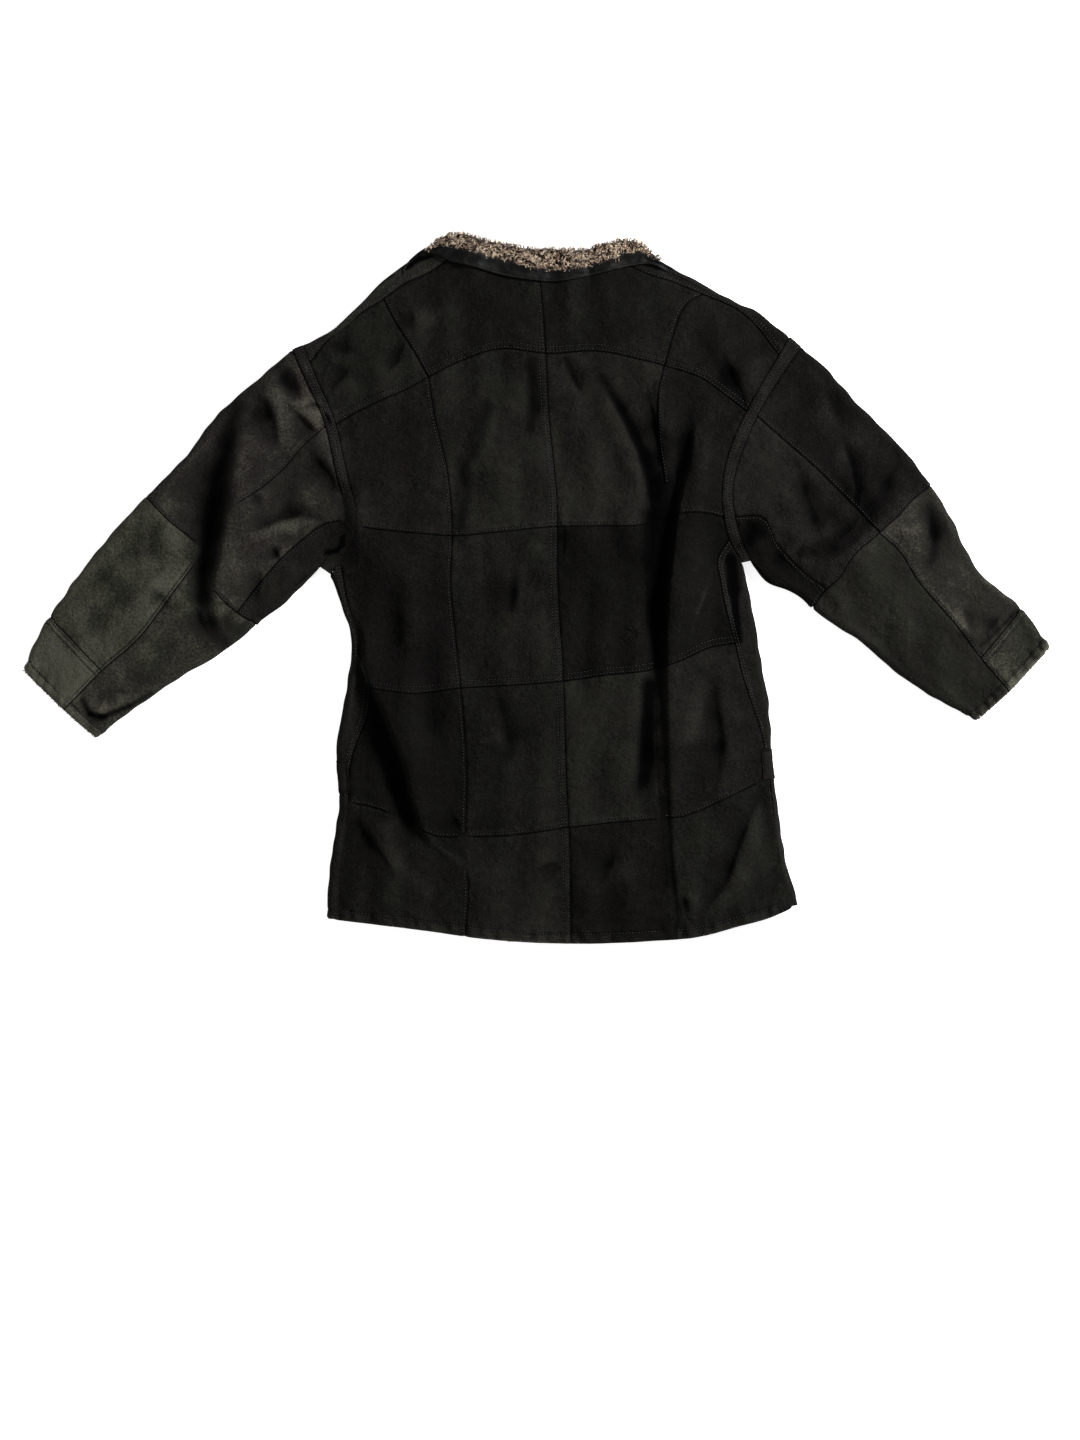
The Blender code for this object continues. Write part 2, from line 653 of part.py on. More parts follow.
def build_bands():
    """The shoulder bands, which come over the shoulder from the front."""
    for side in SIDES:
        edge_name, shoulder = "upper_edge_" + side, "shoulder_seam_" + side
        slant_top = meeting("slant_" + side, shoulder)
        neck_end, arm = meeting("neck_seam", shoulder), "strap_body_" + side
        arm_top, tip = meeting(arm, shoulder), CURVES[edge_name][0]
        parts = (CELLS["shoulder"], CELLS["outer"])
        turn = CURVES[edge_name][
            np.argmin(np.linalg.norm(CURVES[edge_name] - slant_top, axis=1))
        ]
        edge = Edge(
            edge_name, (tip, turn, parts[0]), (turn, meeting(arm, edge_name), parts[1]),
        )
        inner = edge.inner
        seam = run(
            (shoulder, neck_end, slant_top, parts[0]), (shoulder, slant_top, arm_top, parts[1]),
        )
        cells = CELLS["side_strip"]
        top = filled(
            divided(np.array([neck_end, inner[0]]), cells),
            run((arm, arm_top, inner[-1], cells)), seam, inner,
        )
        front = "front_shoulder_" + side
        front_start, front_end = CURVES[front][0], meeting(front, arm)
        under = filled(
            divided(np.array([inner[0], front_start]), CELLS["underneath"]),
            run((arm, inner[-1], front_end, CELLS["underneath"])),
            inner, run((front, front_start, front_end, sum(parts))),
        )
        grids = beside(on_top(top), rolled(edge), underneath(under))
        finish(wall_mesh("shoulder_band_" + side, *grids), "nubuck", 0.92)


# ---------------------------------------------------------------- the fronts
def centre_front(side, y):
    """Where a front leaves the ground: the left one's edge, the right one's step."""
    edge_x = FRONT_EDGE_X if side == "left" else STEP_FOOT_X
    return np.stack([np.full_like(y, edge_x), y], axis=1)


def front_neck_end(side):
    """Where a front's free edge meets the neckline."""
    neck = CURVES["front_neck"]
    edge_x = FRONT_EDGE_X if side == "left" else STEP_FOOT_X
    return neck[np.argmin(np.abs(neck[:, 0] - edge_x))]


def over_the_left_front(y):
    """The right front's lap: up from the ground over the left front's edge."""
    lap = np.array(LAP)
    grid = np.stack([np.stack([np.full_like(y, x), y], axis=1) for x in lap[:, 0]], axis=1)
    points, out = underneath(grid)
    points[..., 2] = lap[None, :, 1]
    lean = np.stack([lap[:, 2], np.zeros(len(lap)), lap[:, 3]], axis=1)
    out[:] = (lean / np.linalg.norm(lean, axis=1, keepdims=True))[None]
    return points, out


def build_fronts(corner):
    """Each front, cut across at the armhole's foot: a chest piece and a long lower piece."""
    band_cells = CELLS["shoulder"] + CELLS["outer"]
    for side in SIDES:
        k = 0 if side == "left" else -1
        seam, edge_name = "side_seam_" + side, "body_edge_" + side
        arm_line = "strap_body_" + side
        arm, foot = meeting(arm_line, seam), CURVES[edge_name][0]
        waist, hip, hem = (corner[name][k] for name in ("waist_seam", "hip_seam", "hem"))
        line = CURVES[edge_name]
        at = [line[np.argmin(np.abs(line[:, 1] - y))] for y in (waist[1], hip[1])]
        counts = (CELLS["waist"] - ARM_FOOT_CELLS, CELLS["hip"], CELLS["hem"])
        edge = Edge(
            edge_name, (foot, at[0], counts[0]), (at[0], at[1], counts[1]),
            (at[1], line[-1], counts[2]),
        )
        seam_rows = run(
            (seam, arm, waist, counts[0]), (seam, waist, hip, counts[1]),
            (seam, hip, hem, counts[2]),
        )
        strip = CELLS["side_strip"]
        top = filled(
            run((arm_line, arm, edge.inner[0], strip)),
            divided(np.array([hem, edge.inner[-1]]), strip), seam_rows, edge.inner,
        )
        middle_y = edge.inner[:, 1].copy()
        middle_y[-1] = HEM_MIDDLE_Y
        middle = centre_front(side, middle_y)
        flat = filled(
            divided(np.array([edge.inner[0], middle[0]]), CELLS["front_flat"]),
            run(("hem", edge.inner[-1], middle[-1], CELLS["front_flat"])),
            edge.inner, middle,
        )
        parts = [on_top(top), rolled(edge), underneath(flat)]
        if side == "right":
            parts.append(over_the_left_front(middle_y))
        finish(wall_mesh("front_" + side, *beside(*parts)), "nubuck", 0.92)
        rows = CELLS["armhole_under"] + 1
        chest_y = np.linspace(CURVES["front_neck"][:, 1].min() + 1, middle_y[0], rows)
        shoulder = "front_shoulder_" + side
        centre = centre_front(side, chest_y)
        neck_end = front_neck_end(side)
        centre[0] = neck_end
        shoulder_end, shoulder_start = meeting(shoulder, arm_line), CURVES[shoulder][0]
        chest = filled(
            run(
                (shoulder, shoulder_end, shoulder_start, band_cells),
                ("front_neck", shoulder_start, neck_end, CELLS["front_neck"]),
            ),
            divided(np.array([edge.inner[0], middle[0]]), band_cells + CELLS["front_neck"]),
            run((arm_line, shoulder_end, edge.inner[0], CELLS["armhole_under"])), centre,
        )
        parts = [underneath(chest)]
        if side == "right":
            parts.append(over_the_left_front(centre[:, 1]))
        finish(wall_mesh("front_chest_" + side, *beside(*parts)), "nubuck", 0.92)


def sink_buttons():
    """Wells for the buttons that lie against the ground, cut into the left fronts."""
    for number, y in enumerate(BUTTON_ROWS_Y, 1):
        place = ((BUTTON_X - MIDDLE[0]) * MM, (y - MIDDLE[1]) * MM, 0)
        bpy.ops.mesh.primitive_cylinder_add(
            vertices=BUTTON_SIDES, radius=(BUTTON_RADIUS + 0.6) * MM,
            depth=2 * BUTTON_WELL * MM, location=place,
        )
        cutter = bpy.context.object
        cutter.name = "button_well_" + str(number)
        cutter.display_type = "WIRE"
        cutter.hide_render = True
        for owner in list(cutter.users_collection):
            owner.objects.unlink(cutter)
        CUTTERS.objects.link(cutter)
        host = bpy.data.objects["front_left" if y < 0 else "front_chest_left"]
        cut = host.modifiers.new("well_" + str(number), "BOOLEAN")
        cut.operation = "DIFFERENCE"
        cut.object = cutter
        button("button_" + str(number), place)


def button(name, place):
    """A turned button with a raised rim and a sunk middle, face down."""
    mesh = bpy.data.meshes.new(name)
    points = [(r * MM, 0, z * MM) for r, z in BUTTON_PROFILE]
    mesh.from_pydata(points, [(k, k + 1) for k in range(len(points) - 1)], [])
    made = bpy.data.objects.new(name, mesh)
    made.location = place
    COAT.objects.link(made)
    turned = made.modifiers.new("turned", "SCREW")
    turned.steps = turned.render_steps = BUTTON_SIDES
    turned.use_merge_vertices = True
    turned.merge_threshold = 0.00005
    turned.use_smooth_shade = True
    finish(made, "horn", 0.35)


# ---------------------------------------------------------------- the sleeves
def straight(start, end, cells):
    """A straight line divided into cells."""
    return divided(np.array([start, end]), cells)


def build_sleeve(side):
    """A sleeve of six pelts: top sleeve, forearm, cuff, back, under sleeve and its forearm."""
    arm, back, elbow = "strap_sleeve_" + side, "back_seam_" + side, "elbow_" + side
    under, cuff, front = "under_seam_" + side, "cuff_seam_" + side, "front_seam_" + side
    upper, lower, wrist = "upper_edge_" + side, "lower_edge_" + side, "cuff_" + side
    point = {
        "shoulder": meeting(arm, upper), "arm_back": meeting(arm, back),
        "arm_under": meeting(arm, under), "pit": CURVES[lower][0],
        "elbow_top": meeting(elbow, upper), "elbow_back": meeting(elbow, back),
        "elbow_under": meeting(elbow, under), "elbow_low": meeting(elbow, lower),
        "cuff_top": meeting(cuff, upper), "cuff_back": meeting(cuff, back),
        "wrist_top": CURVES[upper][-1], "wrist_back": meeting(wrist, back),
        "wrist_low": CURVES[lower][-1], "arm_front": meeting(arm, front),
        "wrist_front": meeting(wrist, front),
    }
    seam = CURVES[front]
    reach = [np.linalg.norm(seam - point[k], axis=1) for k in ("elbow_top", "elbow_low")]
    point["elbow_front"] = seam[np.argmin(reach[0] + reach[1])]
    reach = np.linalg.norm(seam - point["cuff_back"], axis=1)
    point["cuff_front"] = seam[np.argmin(reach)]
    stages = (
        ("top_sleeve_", "shoulder", "elbow_top", "arm_back", "elbow_back", "arm_front",
         "elbow_front", CELLS["upper_arm"], arm, elbow),
        ("forearm_", "elbow_top", "cuff_top", "elbow_back", "cuff_back", "elbow_front",
         "cuff_front", CELLS["fore_arm"], elbow, cuff),
        ("cuff_", "cuff_top", "wrist_top", "cuff_back", "wrist_back", "cuff_front",
         "wrist_front", CELLS["cuff"], cuff, wrist),
    )
    across, hidden = CELLS["top_sleeve"], CELLS["underneath"]
    for name, e0, e1, b0, b1, f0, f1, cells, first, last in stages:
        edge = Edge(upper, (point[e0], point[e1], cells))
        top = filled(
            run((first, point[b0], edge.inner[0], across)),
            run((last, point[b1], edge.inner[-1], across)),
            run((back, point[b0], point[b1], cells)), edge.inner,
        )
        begin = (
            run((arm, edge.inner[0], point[f0], hidden)) if name == "top_sleeve_"
            else straight(edge.inner[0], point[f0], hidden)
        )
        end = (
            run((wrist, edge.inner[-1], point[f1], hidden)) if name == "cuff_"
            else straight(edge.inner[-1], point[f1], hidden)
        )
        below_it = filled(begin, end, edge.inner, run((front, point[f0], point[f1], cells)))
        grids = beside(on_top(top), rolled(edge), underneath(below_it))
        tone = "worn_nubuck" if name == "cuff_" else "nubuck"
        finish(wall_mesh(name + side, *grids), tone, 0.92)
    cells, wide = CELLS["upper_arm"], CELLS["back_sleeve"]
    grid = filled(
        run((arm, point["arm_back"], point["arm_under"], wide)),
        run((elbow, point["elbow_back"], point["elbow_under"], wide)),
        run((back, point["arm_back"], point["elbow_back"], cells)),
        run((under, point["arm_under"], point["elbow_under"], cells)),
    )
    finish(wall_mesh("back_sleeve_" + side, *on_top(grid)), "nubuck", 0.92)
    narrow = CELLS["under_sleeve"]
    edge = Edge(lower, (point["pit"], point["elbow_low"], cells))
    top = filled(
        run((arm, point["arm_under"], edge.inner[0], narrow)),
        run((elbow, point["elbow_under"], edge.inner[-1], narrow)),
        run((under, point["arm_under"], point["elbow_under"], cells)), edge.inner,
    )
    below_it = filled(
        run((arm, edge.inner[0], point["arm_front"], hidden)),
        straight(edge.inner[-1], point["elbow_front"], hidden),
        edge.inner, run((front, point["arm_front"], point["elbow_front"], cells)),
    )
    grids = beside(on_top(top), rolled(edge), underneath(below_it))
    finish(wall_mesh("under_sleeve_" + side, *grids), "nubuck", 0.92)
    parts = (CELLS["fore_arm"], CELLS["cuff"])
    cuff_low = CURVES[lower][np.argmin(np.linalg.norm(CURVES[lower] - point["cuff_back"], axis=1))]
    edge = Edge(
        lower, (point["elbow_low"], cuff_low, parts[0]),
        (cuff_low, point["wrist_low"], parts[1]),
    )
    top = filled(
        run(
            (elbow, point["elbow_back"], point["elbow_under"], wide),
            (elbow, point["elbow_under"], edge.inner[0], narrow),
        ),
        run((wrist, point["wrist_back"], edge.inner[-1], wide + narrow)),
        run(
            (back, point["elbow_back"], point["cuff_back"], parts[0]),
            (back, point["cuff_back"], point["wrist_back"], parts[1]),
        ),
        edge.inner,
    )
    below_it = filled(
        straight(edge.inner[0], point["elbow_front"], hidden),
        run((wrist, edge.inner[-1], point["wrist_front"], hidden)), edge.inner,
        run(
            (front, point["elbow_front"], point["cuff_front"], parts[0]),
            (front, point["cuff_front"], point["wrist_front"], parts[1]),
        ),
    )
    grids = beside(on_top(top), rolled(edge), underneath(below_it))
    finish(wall_mesh("under_forearm_" + side, *grids), "worn_nubuck", 0.9)


def build_strap(side):
    """The lapped strap round an armhole: over the back, round the shoulder, underneath."""
    body, sleeve, upper = "strap_body_" + side, "strap_sleeve_" + side, "upper_edge_" + side
    edge = Edge(upper, (meeting(body, upper), meeting(sleeve, upper), 2))
    ends = [CURVES[name][-1] for name in (body, sleeve)]
    foot = divided(np.array(ends), 2)
    cells = CELLS["strap"]
    sides = [
        run((name, end, edge.inner[i], cells))
        for name, end, i in ((body, ends[0], 0), (sleeve, ends[1], -1))
    ]
    across = (sides[1] - sides[0]) / np.linalg.norm(sides[1] - sides[0], axis=1)[:, None]
    room = (STRAP_TUCK * (1 - soft_step(np.linspace(0, 1, cells + 1) / 0.6)))[:, None]
    top = on_top(filled(foot, edge.inner, sides[0] + room * across, sides[1] - room * across))
    turn = [np.swapaxes(part, 0, 1) for part in rolled(edge)]
    room = (UNDER_TUCK * soft_step(np.linspace(1, 0, cells + 1) / 0.15))[:, None]
    under_sides = [
        line[::-1][::2] for line in (sides[0] + room * across, sides[1] - room * across)
    ]
    under = underneath(filled(edge.inner, foot, *under_sides))
    points, out = below(top, turn, under)
    share = np.concatenate(
        [
            np.ones(len(top[0])),
            (1 + np.cos(np.linspace(0, math.pi, CELLS["roll"] + 1)[1:-1])) / 2,
            np.zeros(len(under[0])),
        ]
    )
    raised = STRAP_RAISE * share[:, None, None]
    strap = wall_mesh("armhole_strap_" + side, points, out, raised=raised, gap=STRAP_GAP)
    finish(strap, "nubuck", 0.9)


# ---------------------------------------------------------------- the collar
def neck_line():
    """The neck seam as the yokes and the shoulder bands end at it, left to right."""
    ends = [meeting("neck_seam", "shoulder_seam_" + side) for side in SIDES]
    middle = meeting("neck_seam", "centre_back")
    seam = run(
        ("neck_seam", ends[0], middle, CELLS["neck"]),
        ("neck_seam", middle, ends[1], CELLS["neck"]),
    )
    halves = (seam[1:] + seam[:-1]) / 2
    doubled = np.empty((len(seam) + len(halves), 2))
    doubled[::2], doubled[1::2] = seam, halves
    tips = (CELLS["collar"] - 4 * CELLS["neck"]) // 2
    left = resampled(np.array([COLLAR_ENDS["left"]["stand"], seam[0]]), tips)[:-1]
    right = resampled(np.array([seam[-1], COLLAR_ENDS["right"]["stand"]]), tips)[1:]
    return np.concatenate([left, doubled, right]) + (0.0, NECK_ROOM)


def resampled(line, cells):
    """A line's own corners kept straight, divided into equal cells."""
    step = np.linalg.norm(np.diff(line, axis=0), axis=1)
    along = np.concatenate([[0], np.cumsum(step)])
    at = np.linspace(0, along[-1], cells + 1)
    return np.stack([np.interp(at, along, line[:, k]) for k in range(2)], axis=1)


def build_collar():
    """The turned-down collar: fur fall, roll and stand in one, and its leather edging."""
    cells = CELLS["collar"]
    edge_line = CURVES["collar_fur_edge"]
    ends = [
        edge_line[np.argmin(np.linalg.norm(edge_line - COLLAR_ENDS[side]["fur"], axis=1))]
        for side in SIDES
    ]
    fur_edge = resampled(stretch("collar_fur_edge", *ends), cells)
    top_line = resampled(CURVES["collar_top"], cells)
    radius = (FALL_RISE + STAND_DROP) / 2
    ahead = np.gradient(top_line, axis=0)
    ahead /= np.linalg.norm(ahead, axis=1, keepdims=True)
    out = np.stack([-ahead[:, 1], ahead[:, 0]], axis=1)
    inner = top_line - radius * out
    mix = np.linspace(0, 1, CELLS["fall"] + 1)[None, :, None]
    fall = fur_edge[:, None] * (1 - mix) + inner[:, None] * mix
    stand_end = neck_line()
    mix = np.linspace(0, 1, CELLS["fall"] + 2)[None, :, None]
    stand = inner[:, None] * (1 - mix) + stand_end[:, None] * mix
    level = height(fall[..., 0], fall[..., 1])
    upright = np.zeros((*fall.shape[:2], 3)) + (0.0, 0.0, 1.0)
    fall_points = np.dstack([fall, level + FALL_RISE])
    turn = np.linspace(0, math.pi, CELLS["roll"] + 1)[1:-1]
    direction = np.concatenate(
        [
            np.sin(turn)[None, :, None] * out[:, None],
            np.broadcast_to(np.cos(turn)[None, :, None], (cells + 1, len(turn), 1)),
        ],
        axis=2,
    )
    centre = np.concatenate([inner, level[:, -1:] + FALL_RISE - radius], axis=1)
    roll_points = centre[:, None] + radius * direction
    stand_level = height(stand[..., 0], stand[..., 1])
    fade = np.linspace(0, 1, stand.shape[1])[None, :]
    stand_z = (level[:, -1:] * (1 - fade) + stand_level * fade) - STAND_DROP
    stand_points = np.dstack([stand, stand_z])
    downward = np.zeros((*stand.shape[:2], 3)) + (0.0, 0.0, -1.0)
    grids = beside((fall_points, upright), (roll_points, direction), (stand_points, downward))
    finish(wall_mesh("collar_fur", *grids, thickness=FALL_WALL), "fur", 0.95)

    tips = (3, 2)
    upper = np.concatenate(
        [
            resampled(stretch("collar_fur_edge", edge_line[0], ends[0]), tips[0])[:-1],
            fur_edge,
            resampled(stretch("collar_fur_edge", ends[1], edge_line[-1]), tips[1])[1:],
        ]
    )
    lower = resampled(CURVES["collar_free_edge"], len(upper) - 1)
    mix = np.linspace(0, 1, 3)[None, :, None]
    strip = upper[:, None] * (1 - mix) + lower[:, None] * mix
    thin = mix[..., 0] * np.ones((len(upper), 1))
    level = height(strip[..., 0], strip[..., 1])
    points = np.dstack([strip, level + FALL_RISE - EDGING_SLOPE * thin])
    upright = np.zeros((*strip.shape[:2], 3)) + (0.0, 0.0, 1.0)
    wall = (FALL_WALL - (EDGING_SLOPE - 0.7) * thin)[..., None]
    finish(wall_mesh("collar_edging", points, upright, thickness=wall), "leather", 0.5)


def build_front_collar():
    """The collar's two front leaves, flat under the neck, parted over the left front's edge."""
    top, cells = CURVES["collar_top"], CELLS["front_neck"]
    for side, sign in (("left", 1), ("right", -1)):
        start = COLLAR_ENDS[side]["leaf"]
        part_x = FRONT_EDGE_X - 0.2 * sign
        neck_end = front_neck_end(side)
        mine = top[(part_x - top[:, 0]) * sign > 3] - (0.0, COLLAR_TUCK)
        mine = mine[(mine[:, 0] - start[0]) * sign > 22][::sign]
        low = run(("front_neck", CURVES["front_shoulder_" + side][0], neck_end, cells))
        if side == "right":
            low = np.concatenate([low, [(part_x, low[-1][1])]])
        first = resampled(np.array([start, *mine, (part_x, LEAF_TOP_Y)]), len(low) - 1)
        sides = [resampled(np.array([first[i], low[i]]), 3) for i in (0, -1)]
        grid = filled(first, low, *sides)
        finish(wall_mesh("collar_leaf_" + side, *underneath(grid)), "fur", 0.95)


def build_welts():
    """The ends of the pocket welts, where they come round the sides."""
    for side in SIDES:
        name = "body_edge_" + side
        line = CURVES[name]
        ends = [line[np.argmin(np.abs(line[:, 1] - y))] for y in WELTS[side]]
        edge = Edge(name, (*ends, 3))
        inboard = edge.inner - WELT_WIDTH * edge.out
        flat = on_top(np.stack([inboard, (inboard + edge.inner) / 2], axis=1))
        turn = np.radians((0, 25, 50, 75))
        across = np.sin(turn)[None, :, None] * edge.out[:, None]
        up = np.broadcast_to(np.cos(turn)[None, :, None], (len(edge.rows), len(turn), 1))
        out = np.concatenate([across, up], axis=2)
        centre = np.concatenate(
            [edge.inner, np.full((len(edge.inner), 1), EDGE_RADIUS)], axis=1
        )
        points, out = beside(flat, (centre[:, None] + EDGE_RADIUS * out, out))
        points = points + out * (WELT_THICKNESS + 0.4)
        welt = wall_mesh("pocket_welt_" + side, points, out, thickness=WELT_THICKNESS)
        finish(welt, "nubuck", 0.9)


def main():
    corner = back_corners()
    build_back(corner)
    build_yokes(corner)
    build_bands()
    build_fronts(corner)
    sink_buttons()
    for side in SIDES:
        build_sleeve(side)
        build_strap(side)
    build_collar()
    build_front_collar()
    build_welts()


for old in list(bpy.data.objects):
    bpy.data.objects.remove(old)
COAT = bpy.data.collections.new("sheepskin_coat")
CUTTERS = bpy.data.collections.new("cutters")
bpy.context.scene.collection.children.link(COAT)
bpy.context.scene.collection.children.link(CUTTERS)
main()
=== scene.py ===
"""Looks of a sheepskin coat that lies flat on its fronts, back up, sleeves spread.

Every pelt is a thin shell of its own, nubuck outside and wool inside, on one relief:
the coat's loft, its large folds and a table of creases placed one by one. Seams are
lapped, with two rows of topstitching; the collar is curly fur with a smooth leather
edging. All tables are in millimetres; x runs across the coat, y up to the collar.
Left is the left of the coat as seen from above.
"""

import math

import bpy
import numpy as np
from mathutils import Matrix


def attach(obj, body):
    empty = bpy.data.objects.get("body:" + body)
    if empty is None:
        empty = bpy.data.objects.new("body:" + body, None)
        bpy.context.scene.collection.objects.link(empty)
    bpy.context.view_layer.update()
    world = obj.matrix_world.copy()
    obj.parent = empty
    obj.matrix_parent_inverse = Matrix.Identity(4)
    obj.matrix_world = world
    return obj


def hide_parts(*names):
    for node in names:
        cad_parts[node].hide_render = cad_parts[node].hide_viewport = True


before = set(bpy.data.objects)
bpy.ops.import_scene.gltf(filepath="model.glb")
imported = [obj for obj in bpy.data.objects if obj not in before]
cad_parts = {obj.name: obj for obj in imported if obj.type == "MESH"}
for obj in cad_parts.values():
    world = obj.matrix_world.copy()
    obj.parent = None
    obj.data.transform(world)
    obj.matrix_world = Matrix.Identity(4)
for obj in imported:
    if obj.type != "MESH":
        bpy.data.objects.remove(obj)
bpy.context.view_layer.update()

bl_info = {
    "name": "Sheepskin coat",
    "version": (1, 0, 0),
    "blender": (4, 5, 0),
    "location": "3D View > Sidebar > Coat",
    "description": "Dresses the packed sheepskin coat: pelts, seams, stitches, fur and wool",
    "category": "Object",
}

MM = 0.001
SIDES = ("left", "right")
MIDDLE = (2.0, -1.6)  # the middle of the laid coat is the part's origin
SKIN = "_skin"  # ends the name of each piece that stands for a node of that name

# -------------------- sizes of the laid coat
WALL = 5.0  # skin and wool together, in the shown shells
EDGE_RADIUS = 8.0
LOFT = 10.0  # the back over its rolled edges
LOFT_RUN = 85.0
CALM_RUN = 12.0  # from a rolled edge in to the first full crease
LOWEST = 13.8
LOWEST_MIDDLE = 18.6  # over the lapped fronts, which lie below the middle of the back
LOWEST_SOFT = 1.5  # how gently the relief stops there
CREASE_SCALE = (1.25, 1.15, 1.3)  # on the measured widths, depths and lifts
STRAP_RAISE = 1.2
HEM_MIDDLE_Y = -467.0
FRONT_EDGE_X = 36.0
UNDERLAP_X = -36.0
STEP_FOOT_X = 54.0
STEP_TOP_X = 42.0
FRONT_END_X = {"left": FRONT_EDGE_X, "right": STEP_FOOT_X}
FALL_RISE = 9.5
STAND_DROP = 9.0
EDGING_SLOPE = 4.0
NECK_ROOM = 0.5
COLLAR_TUCK = 7.0
WELT_WIDTH = 7.0
WELT_THICKNESS = 2.2
WELT_SUNK = 0.6  # as far as its foot lies in the pelt
RAISED_LAYER = 0.6  # the layer of welts and collar, between 0 beneath and 1 on top
BUTTON_X = 6.0
BUTTON_ROWS_Y = (250.0, 110.0, -30.0, -170.0)
BUTTON_HOLLOW = 13.8  # the well a button lies in: its radius and depth
BUTTON_DEPTH = 4.2

# Distances from a seam at which the grid has its lines, for the lap and its stitch rows
EDGE_STEPS = (0, 0.7, 1.5, 2.5, 3.5, 5.0, 6.4, 7.5, 8.5, 9.5, 11.0, 13.0)
OVERLAP = {"under": -1.0, "strap": -0.6}
STITCH_ROWS = {
    "lap": (2.5, 8.5), "fell": (3.2,), "hem": (12.8,), "strap": (3.4,), "free": (3.0,),
}

